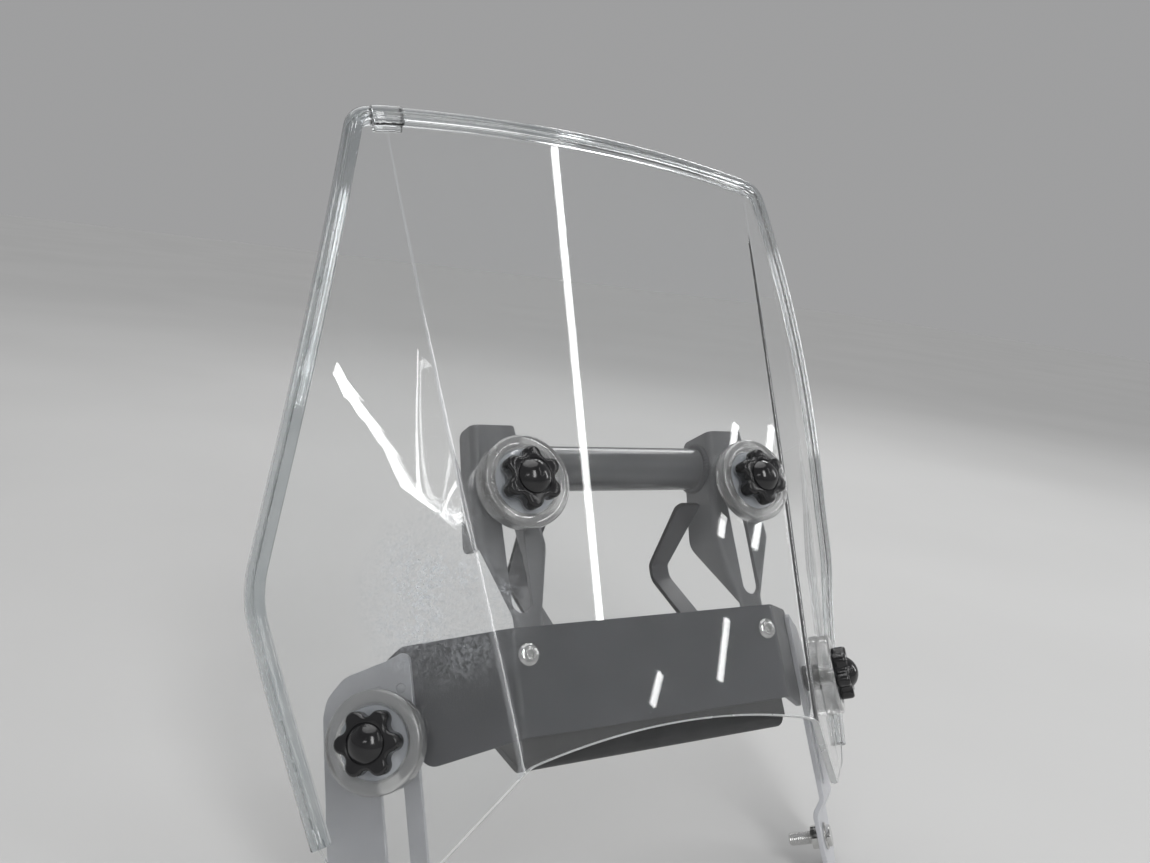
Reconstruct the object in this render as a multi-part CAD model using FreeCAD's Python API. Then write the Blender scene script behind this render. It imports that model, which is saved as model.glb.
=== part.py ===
import FreeCAD, Part
import math
import os

# Height-adjustable windscreen assembly of an adventure motorcycle, in millimetres.
# The screen faces -Y, +X is the rider's left and +Z is up.
# Most pieces are drawn in the raked frame (u, v, w): u runs along X, v runs back through
# the screen and w runs up along the slots. v = 0 is the front of the screen at its middle,
# and w = 0 is the row of the upper knobs with the screen at its highest.

# Driving dimensions
RAKE_DEG = 31.0
TRAVEL = 58.0
SHEET = 4.0

# Screen sections, each at one height w.
# Columns: w, half width at the crease, centre radius, fold angle, flat length of the wing,
# length of the outer flare, angle of the flare at its end.
CENTRE_RADIUS = 1400.0
SCREEN_SECTIONS = [
    (-200.0, 89.5, CENTRE_RADIUS, 41.0, 88.0, 50.0, 0.0),
    (-117.0, 95.5, CENTRE_RADIUS, 41.0, 88.0, 50.0, 0.0),
    (-40.0, 104.0, CENTRE_RADIUS, 39.0, 82.0, 60.0, 0.0),
    (28.0, 111.6, CENTRE_RADIUS, 34.0, 58.0, 50.0, 2.0),
    (80.0, 117.0, CENTRE_RADIUS, 28.0, 40.0, 46.0, 2.0),
    (150.0, 124.0, CENTRE_RADIUS, 19.0, 24.0, 38.0, 2.0),
    (245.0, 132.0, CENTRE_RADIUS, 8.0, 12.0, 30.0, 2.0),
]
CREASE_RADIUS = 6.0

# Outline of the screen, seen along v
HALF_WIDTH = 202.0
TOP_MID_W = 224.5
TOP_CROWN = 5.0
CORNER_U = HALF_WIDTH - 55.0
CORNER_W = 218.5
CORNER_RADIUS = 11.0
FLANK_LOW_U = HALF_WIDTH - 8.5
FLANK_LOW_W = 0.0
BULGE_W = -38.0
BULGE_RADIUS = 70.0
TIP_U = HALF_WIDTH - 27.0
TIP_W = -162.0
LOBE_OUT_U = HALF_WIDTH - 33.0
LOBE_OUT_W = -175.0
LOBE_IN_U = HALF_WIDTH - 69.0
LOBE_IN_W = -182.0
ARCH_END_U = 91.5
ARCH_END_W = -140.0
ARCH_MID_W = -130.0
OUTLINE_FRONT = -60.0
OUTLINE_DEPTH = 220.0
EDGE_SPARE = 0.25 * HALF_WIDTH

# Edge trim: thickness, depth over the sheet and how far its nose stands out of the edge
TRIM = (9.0, 13.0, 3.7)
TRIM_PLAY = 0.5
TRIM_FLOOR = 2.2
TRIM_LIP = 2.0
TRIM_PROBE = 3.0
TRIM_TOP_STEPS = 8
SLEEVE = (11.0, 14.4, 4.2)
SLEEVE_U = 18.5 - CORNER_U
SLEEVE_LENGTH = 17.0

# Clamping points: half spacing of the upper and lower rows and height of the lower row
UPPER_U = 77.0
LOWER_U = HALF_WIDTH - 53.0
LOWER_W = -117.0
WING_DEG = SCREEN_SECTIONS[1][3]

# Clamp hardware
BOLT_DIA = 8.0
HOLE_CLEARANCE = 0.6
WASHER_DIA = 50.0
WASHER_HEIGHT = 9.0
WASHER_RIM = 2.0
RECESS_DIA = 37.0
RECESS_DEPTH = 3.0
KNOB_DIA = 32.0
KNOB_LOBE_RADIUS = 5.0
KNOB_VALLEY_CENTRE = 17.5
KNOB_LOBES = 6
KNOB_BODY = 10.0
KNOB_EDGE = 1.6
KNOB_FOOT = 2.0
KNOB_FOOT_DIA = 21.0
DOME_DIA = 18.0
DOME_HEIGHT = 4.5
THREAD_DEPTH = 8.5
SPACER_DIA = 16.0
T_HEAD = 16.0
T_HEAD_HEIGHT = 5.0
SLIDE_GAP = 0.3

# Stay, cut and folded from sheet
PLATE = 3.0
SLOT_WIDTH = 12.0
SLOT_PLAY = 0.6
PLATE_FRONT_V = 15.5
PLATE_TOP_W = -72.0
PLATE_LOW_W = -126.0
PLATE_BEND_U = 86.5
PAD_TOP_W = 38.0
PAD_SHOULDER_W = -30.0
NECK_W = -66.0
UPRIGHT_LOW_W = -126.0
PAD_TOP_IN_U = 67.0
PAD_TOP_OUT_U = 94.0
PAD_SHOULDER_IN_U = 57.0
PAD_SHOULDER_OUT_U = 99.0
NECK_IN_U = 65.0
NECK_OUT_U = 84.5
INNER_FLANGE = 27.0
OUTER_FLANGE = 17.0
SIDE_BOLT_W = -212.0
SIDE_JOGGLE = 6.0
SIDE_JOGGLE_W = (-190.0, -198.0)

# Corners of the left side plate. Columns: run along the wing from its slot, height w.
SIDE_OUTLINE = [
    (-15.0, -74.0), (-3.0, -78.0), (21.0, -83.0), (31.0, -92.0), (34.0, -101.0), (37.0, -166.0),
    (37.0, -222.0), (27.0, -232.0), (-7.0, -232.0), (-15.0, -222.0),
]

# Outer corners of the centre plate's left wing, in the same columns
WING_OUTLINE = [(-10.0, -72.0), (8.0, -84.0), (8.0, -103.0), (-14.5, -104.0), (-14.5, -134.0)]

# Crossbar between the uprights
BAR_DIA = 26.0
BAR_WALL = 2.0
BAR_W = 18.0
BAR_GAP = 1.0

# Braces behind the uprights
BRACE_WIDTH = 13.0
BRACE_SHEET = 3.0
BRACE_BACK = 52.0
BRACE_LAP = 12.0
BRACE_TOP_W = -4.0
BRACE_ELBOW_W = -34.0
BRACE_FOOT_W = -124.0

# Mounting rail
RAIL_SHEET = 4.0
RAIL_HALF = 86.0
RAIL_TOP_W = -76.0
RAIL_BEND_W = -140.0
RAIL_FOOT = 52.0
RAIL_HOLE_SPACING = 120.0
RAIL_HOLE_DIA = 8.4
RAIL_HOLE_BACK = 34.0

# Fasteners of the stay
SCREW_U = 79.0
SCREW_W = -86.0
SCREW_DIA = 6.0
SCREW_PLAY = 0.2
SCREW_HEAD_DIA = 12.0
SCREW_HEAD = 2.4
NUT_HEIGHT = 5.0
SIDE_BOLT_HEAD_DIA = 16.0
SIDE_BOLT_HEAD = 4.0
SIDE_BOLT_FREE = 14.0
SIDE_NUT_ACROSS = 13.0
RIVET_DIA = 5.0
RIVET_HEAD_DIA = 9.0
RIVET_HEAD = 1.6
RIVET_RUNS = (-9.0, 3.0)
RIVET_W = -93.0

Vector = FreeCAD.Vector
X_AXIS = Vector(1, 0, 0)
Y_AXIS = Vector(0, 1, 0)
Z_AXIS = Vector(0, 0, 1)
RAKE = math.radians(RAKE_DEG)
UPRIGHT_FRONT_V = PLATE_FRONT_V + PLATE
RAIL_FRONT_V = UPRIGHT_FRONT_V + PLATE
RAIL_BACK_V = RAIL_FRONT_V + RAIL_SHEET


def turned(v, w):
    """Y and Z of a raked point before the shift to the mount."""
    return (v * math.cos(RAKE) + w * math.sin(RAKE), -v * math.sin(RAKE) + w * math.cos(RAKE))


BEND_Y, BEND_Z = turned(RAIL_BACK_V, RAIL_BEND_W)
ORIGIN_Y = BEND_Y + RAIL_HOLE_BACK
ORIGIN_Z = BEND_Z - RAIL_SHEET


def to_part_frame(shape):
    """Lean a raked shape back and put the origin on the rail's hole line."""
    shape = shape.copy()
    shape.rotate(Vector(0, 0, 0), X_AXIS, -RAKE_DEG)
    shape.translate(Vector(0, -ORIGIN_Y, -ORIGIN_Z))
    return shape


def mirrored(shape):
    return shape.mirror(Vector(0, 0, 0), X_AXIS)


def polar(angle_deg):
    a = math.radians(angle_deg)
    return math.cos(a), math.sin(a)


def prism(points, axis_start, axis_length):
    """Polygon in u and w, given as pairs, extruded along v."""
    corners = [Vector(u, axis_start, w) for u, w in points]
    face = Part.Face(Part.makePolygon(corners + corners[:1]))
    return face.extrude(Vector(0, axis_length, 0))


def rod(radius, length, start, direction):
    return Part.makeCylinder(radius, length, start, direction)


def line(a, b):
    return Part.LineSegment(a, b).toShape()


def arc(a, b, c):
    return Part.Arc(a, b, c).toShape()


# Screen

def half_profile(section, depth):
    """Points of one half section, each moved back by depth along its normal.

    Walks from the middle outwards: centre arc, crease arc, flat wing, outer flare and a
    straight run that keeps the uncut sheet wider than its outline.
    """
    w, crease_u, centre_r, fold, flat, flare, end_angle = section
    start_angle = math.degrees(math.asin(crease_u / centre_r))
    stations = [(0.0, 0.0, 0.0)]
    steps = [
        (math.radians(start_angle) * centre_r, 0.0, start_angle),
        (math.radians(fold - start_angle) * CREASE_RADIUS, start_angle, fold),
        (flat, fold, fold),
        (flare, fold, end_angle),
        (EDGE_SPARE, end_angle, end_angle),
    ]
    u, v = 0.0, 0.0
    for length, angle_a, angle_b in steps:
        for part in range(2):
            a = angle_a + (angle_b - angle_a) * part / 2
            b = angle_a + (angle_b - angle_a) * (part + 1) / 2
            turn = math.radians(b - a)
            chord = length / 2 if abs(turn) < 1e-9 else length / turn * math.sin(turn / 2)
            c, s = polar((a + b) / 2)
            u += chord * c
            v += chord * s
            stations.append((u, v, b))
    points = []
    for pu, pv, angle in stations:
        c, s = polar(angle)
        points.append(Vector(pu - depth * s, pv + depth * c, w))
    return points


def profile_edges(section, depth):
    """Nine edges of one face of a section, from the left end to the right end."""
    r = half_profile(section, depth)
    m = [Vector(-p.x, p.y, p.z) for p in r]
    return [
        line(m[10], m[8]), arc(m[8], m[7], m[6]), line(m[6], m[4]), arc(m[4], m[3], m[2]),
        arc(m[2], r[0], r[2]),
        arc(r[2], r[3], r[4]), line(r[4], r[6]), arc(r[6], r[7], r[8]), line(r[8], r[10]),
    ]


def reverse_edges(edges):
    """The same edges walked the other way."""
    walked = []
    for edge in reversed(edges):
        low, high = edge.ParameterRange
        ends = [edge.valueAt(high), edge.valueAt((low + high) / 2), edge.valueAt(low)]
        straight = isinstance(edge.Curve, Part.Line)
        walked.append(line(ends[0], ends[2]) if straight else arc(*ends))
    return walked


def section_wire(section):
    front = profile_edges(section, 0.0)
    back = profile_edges(section, SHEET)
    starts = [edges[0].valueAt(edges[0].FirstParameter) for edges in (front, back)]
    ends = [edges[-1].valueAt(edges[-1].LastParameter) for edges in (front, back)]
    right_cap = line(ends[0], ends[1])
    left_cap = line(starts[1], starts[0])
    return Part.Wire(front + [right_cap] + reverse_edges(back) + [left_cap])


def oversize_sheet():
    wires = [section_wire(section) for section in SCREEN_SECTIONS]
    return Part.makeLoft(wires, True, False)


def rounded_corner(corner, towards_a, towards_b, radius):
    """Arc of a radius that rounds the corner between two directions, and its two ends."""
    to_a = (towards_a - corner).normalize()
    to_b = (towards_b - corner).normalize()
    half = to_a.getAngle(to_b) / 2
    inwards = (to_a + to_b).normalize()
    reach = radius / math.tan(half)
    mid = corner + inwards * (radius / math.sin(half) - radius)
    start = corner + to_a * reach
    end = corner + to_b * reach
    return start, end, arc(start, mid, end)


def outline_edges():
    """Right half of the outline as edges from the top middle round to the arch middle."""
    def at(u, w):
        return Vector(u, 0, w)
    side_line = at(FLANK_LOW_U, FLANK_LOW_W)
    top_line = at(0, CORNER_W + 2 * TOP_CROWN)
    start, end, corner = rounded_corner(at(CORNER_U, CORNER_W), top_line, side_line, CORNER_RADIUS)
    top = arc(at(-start.x, start.z), at(0, TOP_MID_W), start)
    widest = at(HALF_WIDTH, BULGE_W)
    low_start, low_end, bulge = rounded_corner(widest, end, at(TIP_U, TIP_W), BULGE_RADIUS)
    side = line(end, low_start)
    lower = line(low_end, at(TIP_U, TIP_W))
    tip = line(at(TIP_U, TIP_W), at(LOBE_OUT_U, LOBE_OUT_W))
    foot = line(at(LOBE_OUT_U, LOBE_OUT_W), at(LOBE_IN_U, LOBE_IN_W))
    rise = line(at(LOBE_IN_U, LOBE_IN_W), at(ARCH_END_U, ARCH_END_W))
    arch = arc(at(ARCH_END_U, ARCH_END_W), at(0, ARCH_MID_W), at(-ARCH_END_U, ARCH_END_W))
    return top, corner, side, bulge, lower, tip, foot, rise, arch


def outline_prism():
    top, corner, side, bulge, lower, tip, foot, rise, arch = outline_edges()
    right = [corner, side, bulge, lower, tip, foot, rise]
    left = [mirrored(edge) for edge in right]
    wire = Part.Wire(Part.__sortEdges__([top, arch] + right + left))
    face = Part.Face(wire)
    face.translate(Vector(0, OUTLINE_FRONT, 0))
    return face.extrude(Vector(0, OUTLINE_DEPTH, 0))


def sheet_middle(sheet, u, w):
    """Point in the middle of the sheet at one u and w."""
    probe = line(Vector(u, OUTLINE_FRONT, w), Vector(u, OUTLINE_FRONT + OUTLINE_DEPTH, w))
    hit = sheet.common(probe)
    return Vector(u, hit.BoundBox.Center.y, w)


def clamp_points():
    """Each clamping point: name, point on the front of the sheet and axis towards the front."""
    fold_c, fold_s = polar(WING_DEG)
    start = half_profile(SCREEN_SECTIONS[1], 0.0)[4]
    upper_v = CENTRE_RADIUS - math.sqrt(CENTRE_RADIUS ** 2 - UPPER_U ** 2)
    lower_v = start.y + (LOWER_U - start.x) * fold_s / fold_c
    rows = []
    for side, sign in (("left", 1), ("right", -1)):
        rows.append(("upper_" + side, Vector(sign * UPPER_U, upper_v, 0), Vector(0, -1, 0)))
        rows.append(("lower_" + side, Vector(sign * LOWER_U, lower_v, LOWER_W),
                     Vector(sign * fold_s, -fold_c, 0)))
    return rows


def screen_panel(sheet):
    panel = sheet.common(outline_prism())
    for name, point, axis in clamp_points():
        panel = panel.cut(rod(BOLT_DIA / 2 + HOLE_CLEARANCE, 40, point - axis * 20, axis))
    return panel


# Edge trim

def samples(edge, count, first=0.0, last=1.0):
    """Points and in-plane tangents at even steps between two shares of an edge."""
    low, high = edge.ParameterRange
    rows = []
    for k in range(count):
        share = first + (last - first) * k / (count - 1)
        t = low + (high - low) * share
        rows.append((edge.valueAt(t), edge.tangentAt(t)))
    return rows


def trim_station(sheet, point, tangent):
    """Middle of the sheet's edge, direction of travel and direction out of the sheet."""
    out = tangent.cross(Y_AXIS).normalize()
    if out.dot(point) < 0:
        out = out * -1
    ahead = point + tangent * TRIM_PROBE
    inner = point - out * TRIM_PROBE
    centre = sheet_middle(sheet, point.x, point.z)
    travel = (sheet_middle(sheet, ahead.x, ahead.z) - centre).normalize()
    out = centre - sheet_middle(sheet, inner.x, inner.z)
    out = (out - travel * out.dot(travel)).normalize()
    return centre, travel, out


def channel_wire(centre, travel, out, profile):
    """Channel with a round nose and a slot for the edge of the sheet, at one station."""
    thick, depth, nose = profile
    normal = travel.cross(out)
    half = thick / 2
    slot = SHEET / 2 + TRIM_PLAY
    mouth = nose - depth
    lip_middle = (slot + half) / 2 + TRIM_LIP / 4

    def at(a, b):
        return centre + out * a + normal * b
    bend_c, bend_s = polar(45)
    edges = []
    for side in (-1, 1):
        lip = [
            at(mouth, side * slot), at(mouth + TRIM_LIP / 4, side * lip_middle),
            at(mouth + TRIM_LIP, side * half),
        ]
        shoulder = at(nose - half, side * half)
        nose_middle = at(nose - half + half * bend_c, side * half * bend_s)
        run = [arc(*lip), line(lip[2], shoulder), arc(shoulder, nose_middle, at(nose, 0))]
        edges += run if side < 0 else reverse_edges(run)
    edges.append(line(at(mouth, slot), at(TRIM_FLOOR, slot)))
    edges.append(line(at(TRIM_FLOOR, slot), at(TRIM_FLOOR, -slot)))
    edges.append(line(at(TRIM_FLOOR, -slot), at(mouth, -slot)))
    return Part.Wire(edges)


def channel(sheet, runs, profile):
    """One loft for each run of the edge, joined where the runs share a station."""
    lofts = []
    shared = None
    for rows in runs:
        wires = [channel_wire(*trim_station(sheet, *row), profile) for row in rows]
        if shared:
            wires[0] = shared
        shared = wires[-1]
        lofts.append(Part.makeLoft(wires, True, False))
    if len(lofts) == 1:
        return lofts[0]
    return lofts[0].fuse(lofts[1:])


def top_share(u):
    """Share of the top edge, from its left end, at one u."""
    top = outline_edges()[0]
    half = top.valueAt(top.LastParameter).x
    return (u + half) / (2 * half)


def edge_runs(first_u, side_sign):
    """Runs of outline samples from one place on the top, round one side, down to the tip."""
    top, corner, side, bulge, lower = outline_edges()[:5]
    far = 1.0 if side_sign > 0 else 0.0
    steps = TRIM_TOP_STEPS if side_sign > 0 else 3
    runs = [samples(top, steps, top_share(first_u), far)]
    for edge, count in ((corner, 5), (side, 7), (bulge, 5), (lower, 5)):
        run = samples(edge, count)
        if side_sign < 0:
            run = [(Vector(-p.x, p.y, p.z), Vector(-t.x, t.y, t.z)) for p, t in run]
        runs.append(run)
    if side_sign < 0:
        runs[0] = [(p, t * -1) for p, t in runs[0]]
    return runs


# Clamp hardware

def in_axis_frame(shape, point, axis):
    """Move a shape drawn along +Z to a point with its Z along the axis."""
    shape = shape.copy()
    shape.Placement = FreeCAD.Placement(point, FreeCAD.Rotation(Z_AXIS, axis))
    return shape


def washer_blank():
    """Boss with a rounded rim and a recess for the knob; its seat is at z = 0."""
    r = WASHER_DIA / 2
    recess = RECESS_DIA / 2
    bore = BOLT_DIA / 2 + HOLE_CLEARANCE
    floor = WASHER_HEIGHT - RECESS_DEPTH
    rim = WASHER_RIM
    under = -SHEET * 1.5
    points = [
        Vector(bore, 0, under), Vector(r, 0, under), Vector(r, 0, WASHER_HEIGHT - rim),
        Vector(r - rim, 0, WASHER_HEIGHT), Vector(recess, 0, WASHER_HEIGHT),
        Vector(recess - 1, 0, floor), Vector(bore, 0, floor),
    ]
    edges = [line(points[0], points[1]), line(points[1], points[2])]
    rim_c, rim_s = polar(45)
    corner = Vector(r - rim + rim * rim_c, 0, WASHER_HEIGHT - rim + rim * rim_s)
    edges.append(arc(points[2], corner, points[3]))
    for a, b in ((3, 4), (4, 5), (5, 6), (6, 0)):
        edges.append(line(points[a], points[b]))
    return Part.Face(Part.Wire(edges)).revolve(Vector(0, 0, 0), Z_AXIS, 360)


def front_piece(shape, axis):
    """The solid that lies furthest along the axis."""
    return max(shape.Solids, key=lambda solid: solid.CenterOfMass.dot(axis))


def washer(sheet, point, axis):
    blank = in_axis_frame(washer_blank(), point, axis)
    return front_piece(blank.cut(sheet), axis)


def knob():
    """Six-lobed star knob with a domed cap; its foot is at z = 0."""
    lobe_r = KNOB_LOBE_RADIUS
    lobe_c = KNOB_DIA / 2 - lobe_r
    pitch = 360.0 / KNOB_LOBES
    half_c, half_s = polar(pitch / 2)
    gap = math.hypot(KNOB_VALLEY_CENTRE * half_c - lobe_c, KNOB_VALLEY_CENTRE * half_s)
    valley_r = gap - lobe_r

    def spot(radius, angle):
        c, s = polar(angle)
        return Vector(radius * c, radius * s, KNOB_FOOT)
    edges = []
    for k in range(KNOB_LOBES):
        mid = k * pitch
        lobe = spot(lobe_c, mid)
        before = spot(KNOB_VALLEY_CENTRE, mid - pitch / 2)
        after = spot(KNOB_VALLEY_CENTRE, mid + pitch / 2)
        nearest = spot(lobe_c, mid + pitch)
        a = lobe + (before - lobe) * (lobe_r / gap)
        b = lobe + (after - lobe) * (lobe_r / gap)
        c = nearest + (after - nearest) * (lobe_r / gap)
        edges.append(arc(a, spot(KNOB_DIA / 2, mid), b))
        edges.append(arc(b, spot(KNOB_VALLEY_CENTRE - valley_r, mid + pitch / 2), c))
    star = Part.Face(Part.Wire(edges)).extrude(Vector(0, 0, KNOB_BODY))
    rims = [e for e in star.Edges if abs(e.BoundBox.ZMin - e.BoundBox.ZMax) < 0.01]
    star = star.makeFillet(KNOB_EDGE, rims)
    foot = Part.makeCylinder(KNOB_FOOT_DIA / 2, KNOB_FOOT + 1)
    top = KNOB_FOOT + KNOB_BODY
    dome_r = ((DOME_DIA / 2) ** 2 + DOME_HEIGHT ** 2) / (2 * DOME_HEIGHT)
    ball = Part.makeSphere(dome_r, Vector(0, 0, top + DOME_HEIGHT - dome_r))
    cap = ball.common(Part.makeCylinder(DOME_DIA / 2, DOME_HEIGHT + 1, Vector(0, 0, top - 1)))
    body = star.fuse([foot, cap])
    bore = Part.makeCylinder(BOLT_DIA / 2 + 0.1, THREAD_DEPTH + 1)
    return body.cut(bore).removeSplitter()


def plate_distance(point, axis, is_upper):
    """Distance from the front of the sheet back to the slotted plate, along the axis."""
    if is_upper:
        return UPRIGHT_FRONT_V - point.y
    fold_c, fold_s = polar(WING_DEG)
    bend = Vector(PLATE_BEND_U, PLATE_FRONT_V, 0)
    normal = Vector(fold_s, -fold_c, 0)
    side_point = Vector(abs(point.x), point.y, 0)
    return (side_point - bend).dot(normal) - PLATE


def spacer(sheet, point, axis, reach):
    """Bush between the sheet and the slotted plate."""
    start = point - axis * (reach - SLIDE_GAP)
    blank = rod(SPACER_DIA / 2, reach - SLIDE_GAP, start, axis)
    blank = blank.cut(rod(BOLT_DIA / 2 + HOLE_CLEARANCE / 2, reach, start, axis))
    return front_piece(blank.cut(sheet), axis * -1)


def slide_bolt(point, axis, reach):
    """T-bolt: head behind the slotted plate, neck in the slot, shank out to the knob."""
    back = point - axis * (reach + PLATE + SLIDE_GAP)
    across = axis.cross(Z_AXIS)
    corner = Vector(-T_HEAD / 2, -T_HEAD / 2, -T_HEAD_HEIGHT)
    head = Part.makeBox(T_HEAD, T_HEAD, T_HEAD_HEIGHT, corner)
    head.Placement = FreeCAD.Placement(back, FreeCAD.Rotation(across, Z_AXIS, axis, "ZYX"))
    neck = rod(SLOT_WIDTH / 2 - SLOT_PLAY / 2, PLATE + SLIDE_GAP, back, axis)
    floor = WASHER_HEIGHT - RECESS_DEPTH
    shank = rod(BOLT_DIA / 2, reach + PLATE + SLIDE_GAP + floor + THREAD_DEPTH, back, axis)
    return head.fuse([neck, shank]).removeSplitter()


# Stay

def slot_cut(u, w_top, w_low, v_start, depth):
    """Slot along w with round ends, cut along v."""
    r = SLOT_WIDTH / 2
    top = w_top + SLOT_PLAY
    low = w_low - SLOT_PLAY
    body = Part.makeBox(2 * r, depth, top - low, Vector(u - r, v_start, low))
    ends = [rod(r, depth, Vector(u, v_start, w), Y_AXIS) for w in (top, low)]
    return body.fuse(ends)


def screw_hole(sign):
    """Clearance hole for a plate screw, long enough for every sheet it goes through."""
    start = Vector(sign * SCREW_U, PLATE_FRONT_V - 5, SCREW_W)
    return rod(SCREW_DIA / 2 + SCREW_PLAY, 30, start, Y_AXIS)


def centre_plate():
    """Middle panel with two wings folded back beside the screen's creases."""
    fold_c, fold_s = polar(WING_DEG)
    front = PLATE_FRONT_V
    back = front + PLATE
    mitre = PLATE * math.tan(math.radians(WING_DEG / 2))
    half = [
        (PLATE_BEND_U, front), (PLATE_BEND_U + fold_c, front + fold_s),
        (PLATE_BEND_U + fold_c - PLATE * fold_s, front + fold_s + PLATE * fold_c),
        (PLATE_BEND_U - mitre, back),
    ]
    ring = half + [(-u, v) for u, v in reversed(half)]
    corners = [Vector(u, v, PLATE_LOW_W) for u, v in ring]
    face = Part.Face(Part.makePolygon(corners + corners[:1]))
    plate = face.extrude(Vector(0, 0, PLATE_TOP_W - PLATE_LOW_W))
    slot_run = lower_run()
    wing_rows = [(0.0, PLATE_LOW_W), (0.0, PLATE_TOP_W)]
    wing_rows += [(slot_run + run, w) for run, w in WING_OUTLINE]
    wing = wing_sheet(wing_rows, 0.0, PLATE)
    plate = plate.fuse([wing, mirrored(wing)]).removeSplitter()
    for sign in (1, -1):
        plate = plate.cut(screw_hole(sign))
    return plate.cut(rivet_holes(1)).cut(rivet_holes(-1))


def upright():
    """Left upright: slotted pad with folded flanges, on a neck behind the centre plate."""
    v = UPRIGHT_FRONT_V
    pad = prism([
        (PAD_TOP_IN_U, PAD_TOP_W), (PAD_TOP_OUT_U, PAD_TOP_W), (PAD_SHOULDER_OUT_U, PAD_SHOULDER_W),
        (NECK_OUT_U, NECK_W), (NECK_OUT_U, UPRIGHT_LOW_W), (NECK_IN_U, UPRIGHT_LOW_W),
        (NECK_IN_U, NECK_W), (PAD_SHOULDER_IN_U, PAD_SHOULDER_W),
    ], v, PLATE)
    inner = prism([
        (PAD_TOP_IN_U, PAD_TOP_W), (PAD_TOP_IN_U + PLATE, PAD_TOP_W),
        (PAD_SHOULDER_IN_U + PLATE, PAD_SHOULDER_W), (NECK_IN_U + PLATE, NECK_W),
        (NECK_IN_U, NECK_W), (PAD_SHOULDER_IN_U, PAD_SHOULDER_W),
    ], v, INNER_FLANGE)
    taper = Part.Face(Part.makePolygon([
        Vector(0, v + PLATE, NECK_W - 1), Vector(0, v + INNER_FLANGE + 1, NECK_W - 1),
        Vector(0, v + INNER_FLANGE + 1, PAD_SHOULDER_W), Vector(0, v + INNER_FLANGE, PAD_SHOULDER_W),
        Vector(0, v + PLATE, NECK_W), Vector(0, v + PLATE, NECK_W - 1),
    ])).extrude(Vector(PAD_TOP_OUT_U, 0, 0))
    outer = prism([
        (PAD_TOP_OUT_U - PLATE, PAD_TOP_W), (PAD_TOP_OUT_U, PAD_TOP_W),
        (PAD_SHOULDER_OUT_U, PAD_SHOULDER_W), (PAD_SHOULDER_OUT_U - PLATE, PAD_SHOULDER_W),
    ], v, OUTER_FLANGE)
    body = pad.fuse([inner.cut(taper), outer]).removeSplitter()
    body = body.cut(slot_cut(UPPER_U, 0, -TRAVEL, v - 1, PLATE + 2))
    return body.cut(screw_hole(1))


def crossbar():
    """Tube between the inner flanges, its ends cut to their slant."""
    v = UPRIGHT_FRONT_V + PLATE + BAR_GAP + BAR_DIA / 2
    start = Vector(-PAD_TOP_OUT_U, v, BAR_W)
    length = 2 * PAD_TOP_OUT_U
    tube = rod(BAR_DIA / 2, length, start, X_AXIS)
    tube = tube.cut(rod(BAR_DIA / 2 - BAR_WALL, length, start, X_AXIS))
    room = prism([
        (-PAD_TOP_IN_U, PAD_TOP_W), (PAD_TOP_IN_U, PAD_TOP_W),
        (PAD_SHOULDER_IN_U, PAD_SHOULDER_W), (-PAD_SHOULDER_IN_U, PAD_SHOULDER_W),
    ], v - BAR_DIA, 2 * BAR_DIA)
    return tube.common(room)


def brace():
    """Elbowed strap from the inner flange back and down to the rail."""
    start_v = UPRIGHT_FRONT_V + INNER_FLANGE - BRACE_LAP
    elbow_v = UPRIGHT_FRONT_V + BRACE_BACK
    t = BRACE_SHEET
    outer = [
        (start_v, BRACE_TOP_W), (elbow_v + t, BRACE_ELBOW_W), (elbow_v + t, BRACE_ELBOW_W - 10),
        (RAIL_BACK_V + t, BRACE_FOOT_W + 28), (RAIL_BACK_V + t, BRACE_FOOT_W),
    ]
    inner = [
        (RAIL_BACK_V, BRACE_FOOT_W), (RAIL_BACK_V, BRACE_FOOT_W + 30),
        (elbow_v, BRACE_ELBOW_W - 9), (elbow_v, BRACE_ELBOW_W - 1),
        (start_v, BRACE_TOP_W - 1.2 * t),
    ]
    u = PAD_SHOULDER_IN_U - BRACE_WIDTH
    corners = [Vector(u, a, b) for a, b in outer + inner]
    face = Part.Face(Part.makePolygon(corners + corners[:1]))
    strap = face.extrude(Vector(2 * BRACE_WIDTH, 0, 0))
    beyond = prism([
        (PAD_TOP_IN_U, PAD_TOP_W), (PAD_TOP_OUT_U, PAD_TOP_W), (PAD_TOP_OUT_U, UPRIGHT_LOW_W),
        (PAD_SHOULDER_IN_U, UPRIGHT_LOW_W), (PAD_SHOULDER_IN_U, PAD_SHOULDER_W),
    ], 0, 2 * elbow_v)
    return strap.cut(beyond)


def side_frame(sign, run, w, behind):
    """Point at a run along the folded wing of the centre plate, behind its front face."""
    fold_c, fold_s = polar(WING_DEG)
    u = PLATE_BEND_U + run * fold_c - behind * fold_s
    v = PLATE_FRONT_V + run * fold_s + behind * fold_c
    return Vector(sign * u, v, w)


def lower_run():
    """Run of the lower knobs along the wing of the centre plate."""
    fold_c, fold_s = polar(WING_DEG)
    point = clamp_points()[1][1]
    return (point.x - PLATE_BEND_U) * fold_c + (point.y - PLATE_FRONT_V) * fold_s


def wing_sheet(rows, behind, thick):
    """Left polygon in run and w, as a sheet that starts a distance behind the wing's front."""
    fold_c, fold_s = polar(WING_DEG)
    corners = [side_frame(1, run, w, behind) for run, w in rows]
    face = Part.Face(Part.makePolygon(corners + corners[:1]))
    return face.extrude(Vector(-fold_s, fold_c, 0) * thick)


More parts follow.
